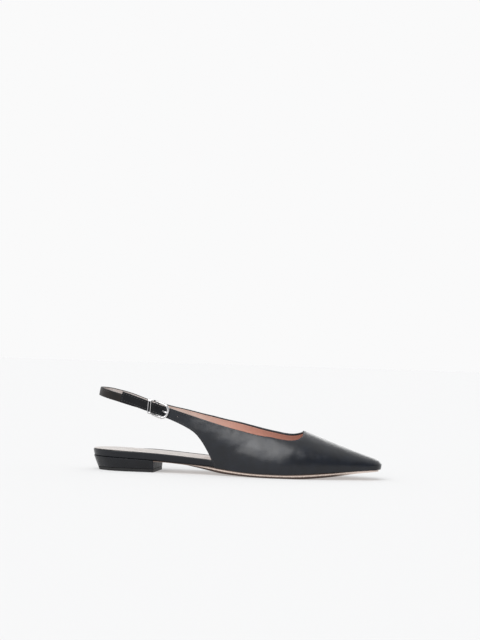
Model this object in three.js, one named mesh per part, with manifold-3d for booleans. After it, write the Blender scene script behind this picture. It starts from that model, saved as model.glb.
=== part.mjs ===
// Slingback ballet flat, right shoe: snipped pointed toe, low block heel, buckled heel strap.
// Millimetres. +X runs from heel to toe, +Y to the medial side, +Z up, and the floor is at z = 0.

import * as THREE from 'three';
import { mergeVertices } from 'three/addons/utils/BufferGeometryUtils.js';
import Module from 'manifold-3d';

const wasm = await Module();
wasm.setup();

// Driving dimensions of the last
const LENGTH = 268;
const BALL_WIDTH = 78;
const SEAT_RISE = 20;
const THROAT_HEIGHT = 42.4;
const THROAT_AT = 0.7325 * LENGTH;
const TOE_TUCK = 0.7;
const SOLE_WAIST_INSET = 1.2;
const SOLE_TOE_INSET = 1.8;
const SOLE_FLARE_LENGTH = 28;
const SEAT_ROUND = 31;
const TOE_ROUND = 9;

// Driving dimensions of the leather
const WALL = 1.8;
const GAP = 0.3;
const SOCK_THICK = 0.6;
const SOCK_INSET = 0.9;
const BAND_LEAN = 1.2;
const STRAP_RISE = 73;
const STRAP_WIDTH = 9.2;
const HEEL_STRAP_WIDTH = 7.6;
const STRAP_THICK = 1.8;
const STRAP_BACK = 4;
const STRAP_LEAN = 0.7;
const STRAP_HALF = 31;
const ANKLE_AT = 0.224 * LENGTH;
const STRAP_OVERLAP_AT = 0.231 * LENGTH;
const HOLE_RADIUS = 0.95;

// Driving dimensions of the heel
const HEEL_LENGTH = 61;
const HEEL_INSET = 0.7;
const HEEL_BACK_SLANT = 5.5;
const HEEL_SIDE_SLANT = 3;
const HEEL_EASE = 8;
const LIFT_THICK = 2.8;

// Driving dimensions of the buckle
const BAR_RADIUS = 0.7;
const WIRE_RADIUS = 0.85;
const FRAME_REACH = 13.6;
const FRAME_CORNER = 5.2;
const FRAME_CLEARANCE = 0.65;
const PRONG_RADIUS = 0.55;
const PRONG_SLOT = 2.2;
const KEEPER_WIDTH = 3;
const KEEPER_WALL = 0.9;
const KEEPER_CORNER = 0.5;
const KEEPER_BEHIND_BAR = 4;
const KEEPER_CLEARANCE = 1.0;
const KEEPER_LEAN = 0.24;
const FOLD_THICK = 0.75;

// Shape of the sections
const DOME_POWER = 1.95;
const SEAT_POWER = 2.15;
const TOE_PLAN_POWER = 3;
const TOE_RISE_POWER = 3;

// Counts of cells and stations, and how much closer the toe's cells stand towards the feather
const WALL_CELL_COUNT = 12;
const VAMP_STATION_COUNT = 22;
const BALL_STATION_COUNT = 6;
const SOLE_STATION_COUNT = 42;
const HEEL_STRAP_STATION_COUNT = 48;
const HEEL_STATION_COUNT = 20;
const TRACE_STEP_COUNT = 160;
const WIRE_SIDE_COUNT = 10;
const ROD_SIDE_COUNT = 16;
const TOE_CROWDING = 0.6;

// Sections of the last, heel to toe. at is a share of LENGTH; lateral, medial and the two body
// columns are half widths as shares of BALL_WIDTH, at the feather line and at the widest height;
// belly (widest height above the feather) and spine are shares of THROAT_HEIGHT; feather, seat
// and ground are heights of the upper's lower edge, the sock and the tread, shares of SEAT_RISE.
const SECTIONS = [
  { at: 0.0, lateral: 0.314, medial: 0.314, lateralBody: 0.41, medialBody: 0.4,
    belly: 0.7, spine: 3.3, feather: 0.67, seat: 1.0, ground: 0.58 },
  { at: 0.05, lateral: 0.32, medial: 0.32, lateralBody: 0.41, medialBody: 0.4,
    belly: 0.7, spine: 3.3, feather: 0.65, seat: 0.995, ground: 0.56 },
  { at: 0.12, lateral: 0.327, medial: 0.327, lateralBody: 0.41, medialBody: 0.4,
    belly: 0.7, spine: 3.2, feather: 0.615, seat: 0.965, ground: 0.53 },
  { at: 0.23, lateral: 0.323, medial: 0.318, lateralBody: 0.41, medialBody: 0.4,
    belly: 0.7, spine: 3.0, feather: 0.555, seat: 0.905, ground: 0.49 },
  { at: 0.33, lateral: 0.318, medial: 0.29, lateralBody: 0.41, medialBody: 0.4,
    belly: 0.7, spine: 2.64, feather: 0.475, seat: 0.815, ground: 0.41 },
  { at: 0.4, lateral: 0.336, medial: 0.29, lateralBody: 0.423, medialBody: 0.41,
    belly: 0.66, spine: 2.17, feather: 0.425, seat: 0.745, ground: 0.26 },
  { at: 0.47, lateral: 0.386, medial: 0.326, lateralBody: 0.442, medialBody: 0.43,
    belly: 0.5, spine: 1.77, feather: 0.32, seat: 0.64, ground: 0.08 },
  { at: 0.54, lateral: 0.451, medial: 0.397, lateralBody: 0.475, medialBody: 0.462,
    belly: 0.3, spine: 1.46, feather: 0.23, seat: 0.47, ground: 0.03 },
  { at: 0.61, lateral: 0.487, medial: 0.458, lateralBody: 0.5, medialBody: 0.49,
    belly: 0.22, spine: 1.23, feather: 0.195, seat: 0.36, ground: 0.0 },
  { at: 0.67, lateral: 0.487, medial: 0.492, lateralBody: 0.503, medialBody: 0.51,
    belly: 0.2, spine: 1.1, feather: 0.195, seat: 0.33, ground: 0.0 },
  { at: 0.735, lateral: 0.455, medial: 0.489, lateralBody: 0.467, medialBody: 0.503,
    belly: 0.19, spine: 0.993, feather: 0.23, seat: 0.345, ground: 0.0 },
  { at: 0.79, lateral: 0.398, medial: 0.447, lateralBody: 0.408, medialBody: 0.457,
    belly: 0.17, spine: 0.863, feather: 0.285, seat: 0.385, ground: 0.055 },
  { at: 0.85, lateral: 0.326, medial: 0.377, lateralBody: 0.335, medialBody: 0.386,
    belly: 0.145, spine: 0.726, feather: 0.35, seat: 0.45, ground: 0.15 },
  { at: 0.91, lateral: 0.246, medial: 0.3, lateralBody: 0.254, medialBody: 0.308,
    belly: 0.12, spine: 0.594, feather: 0.415, seat: 0.53, ground: 0.28 },
  { at: 0.96, lateral: 0.18, medial: 0.232, lateralBody: 0.187, medialBody: 0.239,
    belly: 0.1, spine: 0.488, feather: 0.465, seat: 0.6, ground: 0.36 },
  { at: 1.0, lateral: 0.128, medial: 0.174, lateralBody: 0.132, medialBody: 0.178,
    belly: 0.085, spine: 0.41, feather: 0.495, seat: 0.655, ground: 0.41 },
];

// Middle line of the holed strap end, tip to root. at is a share of LENGTH, rise of STRAP_RISE
// and spread of STRAP_WIDTH; mark names the buckle's bar, the prong's hole and the spare hole.
const STRAP_END = [
  { at: 0.116, rise: 0.941, spread: 1.0 },
  { at: 0.154, rise: 0.901, spread: 1.0 },
  { at: 0.198, rise: 0.849, spread: 1.0 },
  { at: 0.2306, rise: 0.813, spread: 1.0, mark: 'bar' },
  { at: 0.262, rise: 0.777, spread: 1.0, mark: 'prong' },
  { at: 0.311, rise: 0.716, spread: 1.1, mark: 'spare' },
];

const markedRow = (mark) => STRAP_END.findIndex((row) => row.mark === mark);
const BEFORE_BAR = STRAP_END[markedRow('bar') - 1];
const AT_PRONG = STRAP_END[markedRow('prong')];
const BAR_AT = STRAP_END[markedRow('bar')].at * LENGTH;
const PRONG_AT = AT_PRONG.at * LENGTH;
const BUCKLE_SLOPE = Math.atan(
  ((BEFORE_BAR.rise - AT_PRONG.rise) * STRAP_RISE) / ((AT_PRONG.at - BEFORE_BAR.at) * LENGTH),
);

// Middle line of the medial quarter's narrow end, which covers the front of the heel strap.
const MEDIAL_END = [
  { at: 0.179, rise: 0.829, spread: 1.0 },
  { at: 0.218, rise: 0.784, spread: 1.0 },
  { at: 0.256, rise: 0.751, spread: 1.02 },
  { at: 0.3, rise: 0.715, spread: 1.12 },
];

// Topline and cut-out of the quarters, back to front. The at columns are shares of LENGTH, the
// rise columns of STRAP_RISE.
const QUARTERS = [
  { topAt: 0.364, lateralTop: 0.7315, medialTop: 0.738, lowAt: 0.345, lowRise: 0.584 },
  { topAt: 0.403, lateralTop: 0.69, medialTop: 0.71, lowAt: 0.374, lowRise: 0.518 },
  { topAt: 0.437, lateralTop: 0.655, medialTop: 0.683, lowAt: 0.3965, lowRise: 0.429 },
  { topAt: 0.4665, lateralTop: 0.6245, medialTop: 0.664, lowAt: 0.415, lowRise: 0.323 },
  { topAt: 0.4925, lateralTop: 0.6, medialTop: 0.648, lowAt: 0.43, lowRise: 0.215 },
  { topAt: 0.517, lateralTop: 0.578, medialTop: 0.63, lowAt: 0.443, lowRise: 0.105 },
];

// Topline of the quarters over the ball, where their lower edge is the feather line.
const BALL_TOPLINE = [
  { topAt: 0.517, lateralTop: 0.578, medialTop: 0.63, featherAt: 0.443 },
  { topAt: 0.548, lateralTop: 0.5535, medialTop: 0.605, featherAt: 0.48 },
  { topAt: 0.579, lateralTop: 0.529, medialTop: 0.58, featherAt: 0.522 },
  { topAt: 0.607, lateralTop: 0.512, medialTop: 0.56, featherAt: 0.566 },
  { topAt: 0.634, lateralTop: 0.503, medialTop: 0.5425, featherAt: 0.61 },
];

// How far the quarters' outer face stands off the strap line, as a share of WALL plus GAP.
const STANDOFF = [
  { at: 0.0, lateral: 1.0, medial: 1.0 },
  { at: 0.2, lateral: 1.0, medial: 1.0 },
  { at: 0.2306, lateral: 1.36, medial: 1.0 },
  { at: 0.256, lateral: 0.95, medial: 0.85 },
  { at: 0.28, lateral: 0.5, medial: 0.6 },
  { at: 0.335, lateral: 0.5, medial: 0.5 },
  { at: 1.0, lateral: 0.5, medial: 0.5 },
];

// Middle line of the heel strap. around is the share of its way from the medial quarter round
// the heel to the buckle, rise is a share of STRAP_RISE.
const HEEL_STRAP = [
  { around: 0.0, rise: 0.777 },
  { around: 0.12, rise: 0.84 },
  { around: 0.255, rise: 0.93 },
  { around: 0.33, rise: 0.964 },
  { around: 0.4, rise: 0.988 },
  { around: 0.5, rise: 0.998 },
  { around: 0.56, rise: 0.991 },
  { around: 0.62, rise: 0.975 },
  { around: 0.69, rise: 0.95 },
  { around: 0.745, rise: 0.929 },
  { around: 0.79, rise: 0.908 },
  { around: 0.88, rise: 0.866 },
  { around: 0.96, rise: 0.834 },
  { around: 1.0, rise: 0.813 },
];

// Shape of the throat's edge in plan: power of its superellipse, and how far its corner runs
// ahead of its middle, in shares of BALL_WIDTH.
const THROAT = {
  lateral: { power: 3.1, ahead: 0.06 },
  medial: { power: 2.7, ahead: -0.012 },
};

const LATERAL = -1;
const MEDIAL = 1;
const LAYER = WALL + GAP;

// Monotone cubic through one column of a table.
function smooth(table, column, key = 'at') {
  const xs = table.map((row) => row[key]);
  const ys = table.map((row) => row[column]);
  const last = xs.length - 1;
  const rise = xs.slice(1).map((x, i) => (ys[i + 1] - ys[i]) / (x - xs[i]));
  const slope = xs.map((x, i) => {
    if (i === 0 || i === last) {
      return rise[Math.min(i, last - 1)];
    }
    const product = rise[i - 1] * rise[i];
    return product <= 0 ? 0 : (2 * product) / (rise[i - 1] + rise[i]);
  });
  return (x) => {
    const clamped = THREE.MathUtils.clamp(x, xs[0], xs[last]);
    let i = 0;
    while (i < last - 1 && clamped > xs[i + 1]) {
      i += 1;
    }
    const span = xs[i + 1] - xs[i];
    const t = (clamped - xs[i]) / span;
    const blend = t * t * (3 - 2 * t);
    return ys[i] + (ys[i + 1] - ys[i]) * blend
      + span * t * (1 - t) * (slope[i] * (1 - t) - slope[i + 1] * t);
  };
}

const column = (name) => smooth(SECTIONS, name);
const shares = {
  lateral: column('lateral'),
  medial: column('medial'),
  lateralBody: column('lateralBody'),
  medialBody: column('medialBody'),
  belly: column('belly'),
  spine: column('spine'),
  feather: column('feather'),
  seat: column('seat'),
  ground: column('ground'),
};
const sideName = (side) => (side === LATERAL ? 'lateral' : 'medial');

// Roundness of an end: 0 at its tip, 1 from reach onward.
function roundEnd(distance, reach, power) {
  if (distance >= reach) {
    return 1;
  }
  const short = 1 - Math.max(distance, 0) / reach;
  return (1 - short ** power) ** (1 / power);
}

const featherZ = (x) => shares.feather(x / LENGTH) * SEAT_RISE;
const seatZ = (x) => shares.seat(x / LENGTH) * SEAT_RISE;
const groundZ = (x) => shares.ground(x / LENGTH) * SEAT_RISE;
const bellyZ = (x) => featherZ(x) + shares.belly(x / LENGTH) * THROAT_HEIGHT;

function featherHalf(side, x) {
  return shares[sideName(side)](x / LENGTH) * BALL_WIDTH
    * roundEnd(x, SEAT_ROUND, SEAT_POWER)
    * roundEnd(LENGTH - TOE_TUCK - x, TOE_ROUND, TOE_PLAN_POWER);
}

function bodyHalf(side, x) {
  return shares[`${sideName(side)}Body`](x / LENGTH) * BALL_WIDTH
    * roundEnd(LENGTH - x, TOE_ROUND, TOE_PLAN_POWER);
}

function spineZ(x) {
  const belly = bellyZ(x);
  const height = shares.spine(x / LENGTH) * THROAT_HEIGHT - belly;
  return belly + height * roundEnd(LENGTH - x, TOE_ROUND, TOE_RISE_POWER);
}

// Half width of the last at a height on one side.
function lastHalf(side, x, z) {
  const low = featherZ(x);
  const belly = bellyZ(x);
  const foot = featherHalf(side, x);
  const body = bodyHalf(side, x);
  if (z < belly) {
    const rise = Math.max((z - low) / (belly - low), 0);
    return foot + (body - foot) * Math.sin((rise * Math.PI) / 2);
  }
  const rise = Math.min((z - belly) / (spineZ(x) - belly), 1);
  return body * (1 - rise ** DOME_POWER) ** (1 / DOME_POWER);
}

// Height of the vamp over a point in plan.
function vampZ(side, x, y) {
  const body = bodyHalf(side, x);
  const out = body > 0 ? Math.min(Math.abs(y) / body, 1) : 1;
  const belly = bellyZ(x);
  return belly + (spineZ(x) - belly) * (1 - out ** DOME_POWER) ** (1 / DOME_POWER);
}

// Half width of the heel strap's line in plan: an ellipse round the heel, then straight.
function strapHalf(x) {
  if (x >= ANKLE_AT) {
    return STRAP_HALF;
  }
  const back = Math.min((ANKLE_AT - x) / (ANKLE_AT - STRAP_BACK), 1);
  return STRAP_HALF * Math.sqrt(1 - back * back);
}

// Plan direction that points out of the strap's line.
function strapOut(side, x) {
  const back = Math.max((ANKLE_AT - x) / (ANKLE_AT - STRAP_BACK), 0);
  const out = Math.sqrt(Math.max(1 - back * back, 0));
  const normal = new THREE.Vector3(-back / (ANKLE_AT - STRAP_BACK), (side * out) / STRAP_HALF, 0);
  return normal.normalize();
}

const standoff = {
  lateral: smooth(STANDOFF, 'lateral'),
  medial: smooth(STANDOFF, 'medial'),
};
const STRAIGHT_END = BAR_AT + 1.2 * FRAME_REACH;
const LAST_START = 0.385 * LENGTH;

// Outer face of a quarter: the strap's line at the back, the last from the waist on.
function quarterPoint(side, x, z) {
  const share = THREE.MathUtils.smoothstep(x, STRAIGHT_END, LAST_START);
  const half = THREE.MathUtils.lerp(strapHalf(x), lastHalf(side, x, z), share);
  const lift = standoff[sideName(side)](x / LENGTH) * LAYER * (1 - share);
  return new THREE.Vector3(x, side * half, z).addScaledVector(strapOut(side, x), lift);
}

// Points along a polyline at even shares of its length.
function evenly(points, places) {
  const run = [0];
  for (let i = 1; i < points.length; i += 1) {
    run.push(run[i - 1] + points[i].distanceTo(points[i - 1]));
  }
  const total = run[run.length - 1];
  let i = 1;
  return places.map((place) => {
    const goal = place * total;
    while (i < points.length - 1 && run[i] < goal) {
      i += 1;
    }
    const span = run[i] - run[i - 1];
    return points[i - 1].clone().lerp(points[i], span > 0 ? (goal - run[i - 1]) / span : 0);
  });
}

const steps = (count) => Array.from({ length: count + 1 }, (unused, i) => i / count);

// Joins rings of equal length into one closed solid. skip leaves out the cells of a hole, whose
// edge is walled between the ring's first half (outer face) and second half (inner face).
function loft(rings, { skip = () => false, capStart = true, capEnd = true } = {}) {
  const count = rings[0].length;
  const positions = rings.flat().flatMap((p) => [p.x, p.y, p.z]);
  const faces = [];
  const at = (i, j) => i * count + (j % count);
  for (let i = 0; i < rings.length - 1; i += 1) {
    for (let j = 0; j < count; j += 1) {
      if (!skip(i, j)) {
        faces.push([at(i, j), at(i, j + 1), at(i + 1, j + 1)]);
        faces.push([at(i, j), at(i + 1, j + 1), at(i + 1, j)]);
      }
    }
  }
  const cap = (row, flip) => {
    const centre = new THREE.Vector3();
    rings[row].forEach((p) => centre.addScaledVector(p, 1 / count));
    const index = positions.length / 3;
    positions.push(centre.x, centre.y, centre.z);
    for (let j = 0; j < count; j += 1) {
      const pair = [at(row, j), at(row, j + 1)];
      faces.push(flip ? [index, pair[1], pair[0]] : [index, pair[0], pair[1]]);
    }
  };
  if (capStart) {
    cap(0, true);
  }
  if (capEnd) {
    cap(rings.length - 1, false);
  }
  return { positions, faces };
}

// Merged geometry with its faces pointing out.
function geometryFrom({ positions, faces }) {
  const loose = new THREE.BufferGeometry();
  loose.setAttribute('position', new THREE.Float32BufferAttribute(positions, 3));
  loose.setIndex(faces.flat());
  const merged = mergeVertices(loose, 1e-4);
  const index = merged.getIndex().array;
  const kept = [];
  for (let i = 0; i < index.length; i += 3) {
    const [a, b, c] = [index[i], index[i + 1], index[i + 2]];
    if (a !== b && b !== c && c !== a) {
      kept.push([a, b, c]);
    }
  }
  const place = merged.getAttribute('position');
  const corner = (i) => new THREE.Vector3().fromBufferAttribute(place, i);
  const volume = kept.reduce((sum, [a, b, c]) => (
    sum + corner(a).dot(corner(b).cross(corner(c))) / 6), 0);
  merged.setIndex(kept.flatMap(([a, b, c]) => (volume > 0 ? [a, b, c] : [a, c, b])));
  return merged;
}

function solidFrom(geometry) {
  const bare = geometry.clone();
  bare.deleteAttribute('normal');
  bare.deleteAttribute('uv');
  const merged = mergeVertices(bare, 1e-4);
  return new wasm.Manifold(new wasm.Mesh({
    numProp: 3,
    vertProperties: new Float32Array(merged.getAttribute('position').array),
    triVerts: new Uint32Array(merged.getIndex().array),
  }));
}

function geometryOf(solid) {
  const mesh = solid.getMesh();
  const geometry = new THREE.BufferGeometry();
  geometry.setAttribute('position', new THREE.BufferAttribute(mesh.vertProperties, 3));
  geometry.setIndex(new THREE.BufferAttribute(mesh.triVerts, 1));
  return geometry;
}

// Edge points of a narrow strap from its middle line: one above, one below each row.
function strapEdges(table) {
  const middle = table.map((row) => new THREE.Vector2(row.at * LENGTH, row.rise * STRAP_RISE));
  return middle.map((centre, i) => {
    const before = middle[Math.max(i - 1, 0)];
    const after = middle[Math.min(i + 1, middle.length - 1)];
    const along = after.clone().sub(before).normalize();
    const reach = (table[i].spread * STRAP_WIDTH) / 2;
    const across = new THREE.Vector2(-along.y, along.x).multiplyScalar(reach);
    return { top: centre.clone().add(across), low: centre.clone().sub(across) };
  });
}

const splineOf = (points) => new THREE.SplineCurve(points);

// Stations of a quarter behind its feather corner, each a traced line from low edge to topline.
function backStations(side, table, places) {
  const top = `${sideName(side)}Top`;
  const edges = strapEdges(table);
  QUARTERS.forEach((row) => edges.push({
    top: new THREE.Vector2(row.topAt * LENGTH, row[top] * STRAP_RISE),
    low: new THREE.Vector2(row.lowAt * LENGTH, row.lowRise * STRAP_RISE),
  }));
  const corner = edges[edges.length - 1].low;
  corner.y = featherZ(corner.x);
  const topCurve = splineOf(edges.map((edge) => edge.top));
  const lowCurve = splineOf(edges.map((edge) => edge.low));
  return places.map((place) => {
    const t = Math.min(place / (edges.length - 1), 1);
    const high = topCurve.getPoint(t);
    const low = lowCurve.getPoint(t);
    return steps(TRACE_STEP_COUNT).map((v) => quarterPoint(
      side,
      THREE.MathUtils.lerp(low.x, high.x, v),
      THREE.MathUtils.lerp(low.y, high.y, v),
    ));
  });
}

// Stations over the ball, between the cut-out and the throat.
function ballStations(side, count) {
  const topAt = smooth(BALL_TOPLINE, 'topAt', 'featherAt');
  const topRise = smooth(BALL_TOPLINE, `${sideName(side)}Top`, 'featherAt');
  const start = BALL_TOPLINE[0].featherAt;
  const end = BALL_TOPLINE[BALL_TOPLINE.length - 1].featherAt;
  return steps(count).slice(1).map((place) => {
    const share = THREE.MathUtils.lerp(start, end, place);
    const low = share * LENGTH;
    const high = topAt(share) * LENGTH;
    const z = topRise(share) * STRAP_RISE;
    return steps(TRACE_STEP_COUNT).map((v) => quarterPoint(
      side,
      THREE.MathUtils.lerp(low, high, v),
      THREE.MathUtils.lerp(featherZ(low), z, v),
    ));
  });
}

// Plan of one side's outline from the ball to the toe tip.
function toeOutline(side, half, tip, places) {
  const start = BALL_TOPLINE[BALL_TOPLINE.length - 1].featherAt * LENGTH;
  const points = steps(400).map((v) => {
    const x = start + (tip - start) * (1 - (1 - v) ** 3);
    return new THREE.Vector3(x, side * half(side, x), 0);
  });
  return evenly(points, places);
}

// Plan of one side of the throat, a superellipse from the topline to the middle of the vamp.
function throatEdge(side, places) {
  const row = BALL_TOPLINE[BALL_TOPLINE.length - 1];
  const back = row.topAt * LENGTH;
  const { power, ahead } = THROAT[sideName(side)];
  const z = row[`${sideName(side)}Top`] * STRAP_RISE;
  const half = Math.abs(quarterPoint(side, back, z).y);
  const points = steps(200).map((v) => {
    const turn = (v * Math.PI) / 2;
    const out = Math.max(Math.cos(turn), 0) ** (2 / power);
    const front = THROAT_AT + ahead * BALL_WIDTH * out;
    return new THREE.Vector3(
      back + (front - back) * Math.sin(turn) ** (2 / power),
      side * half * out,
      0,
    );
  });
  return evenly(points, places);
}

// Stations of the vamp on one side, from the ball to the toe tip.
function vampStations(side, places) {
  const foot = toeOutline(side, featherHalf, LENGTH - TOE_TUCK, places);
  const body = toeOutline(side, bodyHalf, LENGTH, places);
  const throat = throatEdge(side, places);
  return places.map((place, i) => {
    const wall = steps(40).map((v) => {
      const point = foot[i].clone().lerp(body[i], Math.sin((v * Math.PI) / 2));
      point.z = THREE.MathUtils.lerp(featherZ(foot[i].x), bellyZ(body[i].x), v);
      return point;
    });
    const dome = steps(TRACE_STEP_COUNT).slice(1).map((v) => {
      const point = body[i].clone().lerp(throat[i], v ** 3);
      point.z = vampZ(side, point.x, point.y);
      return point;
    });
    return [...wall, ...dome];
  });
}

// Unit normals of a grid of points, pointing to the same side all over.
function gridNormals(grid) {
  return grid.map((line, i) => line.map((point, j) => {
    const before = grid[Math.max(i - 1, 0)][j];
    const after = grid[Math.min(i + 1, grid.length - 1)][j];
    const below = line[Math.max(j - 1, 0)];
    const above = line[Math.min(j + 1, line.length - 1)];
    return after.clone().sub(before).cross(above.clone().sub(below)).normalize();
  }));
}

// Rounds the border of a hole of two by two cells about its middle station.
function roundHole(grid, station) {
  const middle = WALL_CELL_COUNT / 2;
  const centre = grid[station][middle].clone();
  for (let i = -1; i <= 1; i += 1) {
    for (let j = -1; j <= 1; j += 1) {
      const point = grid[station + i][middle + j];
      const out = point.clone().sub(centre);
      if (i !== 0 || j !== 0) {
        point.copy(centre).addScaledVector(out.normalize(), HOLE_RADIUS);
      }
    }
  }
}

// Places of the strap end's stations, counted in rows of its table, with three at each hole.
const ROW_STEP = 0.115;
const stationsAt = (mark) => [-ROW_STEP, 0, ROW_STEP].map((step) => markedRow(mark) + step);
const STRAP_PLACES = [
  0, 0.12, 0.4, 0.7, 1, 1.3, 1.6, 1.9, 2.2, 2.5, 2.75, 3, 3.25, 3.5, 3.72,
  ...stationsAt('prong'), 4.3, 4.5, 4.7, ...stationsAt('spare'), 5.3, 5.55, 5.8,
  6.1, 6.4, 6.75, 7.1, 7.5, 7.9, 8.3, 8.7, 9.1, 9.5, 9.8, 10.2, 10.6, 11,
];
const MEDIAL_PLACES = [
  0, 0.15, 0.6, 1.1, 1.6, 2.1, 2.6, 3.1, 3.5, 3.9, 4.3, 4.7,
  5.1, 5.6, 6.1, 6.6, 7.1, 7.6, 8.1, 8.6, 9,
];

// The upper: vamp, quarters and holed strap end in one wall, its edges at throat, topline,
// cut-outs and feather line.
function upperGeometry() {
  const vampPlaces = steps(VAMP_STATION_COUNT).slice(1).map((v) => 1 - (1 - v) ** 1.25);
  const lateral = [
    ...backStations(LATERAL, STRAP_END, STRAP_PLACES),
    ...ballStations(LATERAL, BALL_STATION_COUNT),
    ...vampStations(LATERAL, vampPlaces),
  ];
  const medial = [
    ...backStations(MEDIAL, MEDIAL_END, MEDIAL_PLACES),
    ...ballStations(MEDIAL, BALL_STATION_COUNT),
    ...vampStations(MEDIAL, vampPlaces),
  ];
  const lines = [...lateral, ...medial.reverse().slice(1)];
  const tipLine = lateral.length - 1;
  const outer = lines.map((line, i) => {
    const forward = Math.max(1 - Math.abs(i - tipLine) / (VAMP_STATION_COUNT + BALL_STATION_COUNT), 0);
    const crowd = 1 + TOE_CROWDING * THREE.MathUtils.smoothstep(forward, 0, 1);
    return evenly(line, steps(WALL_CELL_COUNT).map((v) => v ** crowd));
  });
  const holes = ['prong', 'spare'].map((mark) => STRAP_PLACES.indexOf(markedRow(mark)));
  const normals = gridNormals(outer);
  const inward = normals[tipLine][WALL_CELL_COUNT].z > 0 ? -WALL : WALL;
  const inner = outer.map((line, i) => line.map((point, j) => (
    point.clone().addScaledVector(normals[i][j], inward))));
  holes.forEach((station) => {
    roundHole(outer, station);
    roundHole(inner, station);
  });
  return shellGeometry(outer, inner, holes);
}

// Closed wall between an outer and an inner grid, with two by two cells open at each hole.
function shellGeometry(outer, inner, holes) {
  const middle = WALL_CELL_COUNT / 2;
  const rings = outer.map((line, i) => [...line, ...[...inner[i]].reverse()]);
  const count = rings[0].length;
  const open = (i, j) => {
    const cell = j <= WALL_CELL_COUNT ? j : count - 2 - j;
    return holes.some((station) => (i === station || i === station - 1)
      && (cell === middle || cell === middle - 1));
  };
  const skip = (i, j) => j !== WALL_CELL_COUNT && j !== count - 1 && open(i, j);
  const { positions, faces } = loft(rings, { skip });
  const rim = [[-1, -1], [0, -1], [1, -1], [1, 0], [1, 1], [0, 1], [-1, 1], [-1, 0]];
  const outerIndex = (i, j) => i * count + j;
  const innerIndex = (i, j) => i * count + (count - 1 - j);
  holes.forEach((station) => {
    rim.forEach(([i, j], k) => {
      const [nextI, nextJ] = rim[(k + 1) % rim.length];
      const here = [station + i, middle + j];
      const next = [station + nextI, middle + nextJ];
      faces.push([outerIndex(...next), outerIndex(...here), innerIndex(...here)]);
      faces.push([outerIndex(...next), innerIndex(...here), innerIndex(...next)]);
    });
  });
  const used = new Set(faces.flat());
  const keep = [...used].sort((a, b) => a - b);
  const renumber = new Map(keep.map((old, i) => [old, i]));
  return geometryFrom({
    positions: keep.flatMap((i) => positions.slice(3 * i, 3 * i + 3)),
    faces: faces.map((face) => face.map((i) => renumber.get(i))),
  });
}

// Pairs of outline points, lateral and medial, from the heel's end to a front end.
function outlinePairs(count, front = LENGTH - TOE_TUCK) {
  return steps(count).map((v) => {
    const x = (front / 2) * (1 - Math.cos(Math.PI * v));
    return {
      lateral: new THREE.Vector3(x, -featherHalf(LATERAL, x), 0),
      medial: new THREE.Vector3(x, featherHalf(MEDIAL, x), 0),
    };
  });
}

// Moves an outline inward in plan. inset gives the distance at a place along the shoe.
function insetPairs(pairs, inset) {
  const last = pairs.length - 1;
  const shift = (name, i, side) => {
    const point = pairs[i][name];
    const before = i === 0 ? pairs[1][name === 'lateral' ? 'medial' : 'lateral'] : pairs[i - 1][name];
    const after = i === last ? pairs[last - 1][name === 'lateral' ? 'medial' : 'lateral']
      : pairs[i + 1][name];
    const along = after.clone().sub(before).normalize();
    const inwardNormal = new THREE.Vector3(along.y, -along.x, 0).multiplyScalar(side);
    return point.clone().addScaledVector(inwardNormal, inset(point.x));
  };
  return pairs.map((pair, i) => ({
    lateral: shift('lateral', i, LATERAL),
    medial: shift('medial', i, MEDIAL),
  }));
}

// Outline of a plate's cross-section: across runs from the lateral to the medial edge, level
// from the bottom (0) to the top (1).
const SQUARE_EDGE = [
  { across: 0, level: 1 },
  { across: 0.25, level: 1 },
  { across: 0.5, level: 1 },
  { across: 0.75, level: 1 },
  { across: 1, level: 1 },
  { across: 1, level: 0 },
  { across: 0.75, level: 0 },
  { across: 0.5, level: 0 },
  { across: 0.25, level: 0 },
  { across: 0, level: 0 },
];
const BEVELLED_EDGE = SQUARE_EDGE.flatMap((spot) => {
  if (spot.level === 1 || (spot.across > 0 && spot.across < 1)) {
    return [spot];
  }
  const inside = spot.across === 0 ? 0.02 : 0.98;
  const edge = { across: spot.across, level: 0.5 };
  const under = { across: inside, level: 0.06 };
  return spot.across === 1 ? [edge, under] : [under, edge];
});

// A plate between two heights. Its upper and lower edges have an outline each.
function plateGeometry({ high, low = high, bottom, top, profile = SQUARE_EDGE, capStart = false }) {
  const rings = high.map((pair, i) => profile.map((spot) => {
    const upper = pair.lateral.clone().lerp(pair.medial, spot.across);
    const point = low[i].lateral.clone().lerp(low[i].medial, spot.across).lerp(upper, spot.level);
    point.z = THREE.MathUtils.lerp(bottom(point.x), top(point.x), spot.level);
    return point;
  }));
  return geometryFrom(loft(rings, { capStart, capEnd: false }));
}

const WAIST_AT = 0.41 * LENGTH;
const TUCK_START = 0.395 * LENGTH;
const TUCK_END = 0.43 * LENGTH;
const INSIDE_UPPER = WALL + 2 * GAP;

// How far a place along the shoe is inside the upper: 0 behind the cut-outs, 1 in the vamp.
const tucked = (x) => THREE.MathUtils.smoothstep(x, TUCK_START, TUCK_END);

// The outsole, from the heel's breast to the toe, thin and set in at the waist.
function outsoleGeometry() {
  const start = HEEL_LENGTH + GAP;
  const pairs = outlinePairs(SOLE_STATION_COUNT).filter(({ lateral }) => lateral.x > start);
  pairs.unshift({
    lateral: new THREE.Vector3(start, -featherHalf(LATERAL, start), 0),
    medial: new THREE.Vector3(start, featherHalf(MEDIAL, start), 0),
  });
  const high = insetPairs(pairs, (x) => {
    const waist = 1 - THREE.MathUtils.smoothstep(x, WAIST_AT, WAIST_AT + SOLE_FLARE_LENGTH);
    const toe = THREE.MathUtils.smoothstep(x, THROAT_AT, LENGTH);
    return SOLE_WAIST_INSET * waist + SOLE_TOE_INSET * toe;
  });
  high[0].lateral.x = start;
  high[0].medial.x = start;
  const top = (x) => featherZ(x) - GAP;
  return plateGeometry({ high, bottom: groundZ, top, profile: BEVELLED_EDGE, capStart: true });
}

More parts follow.
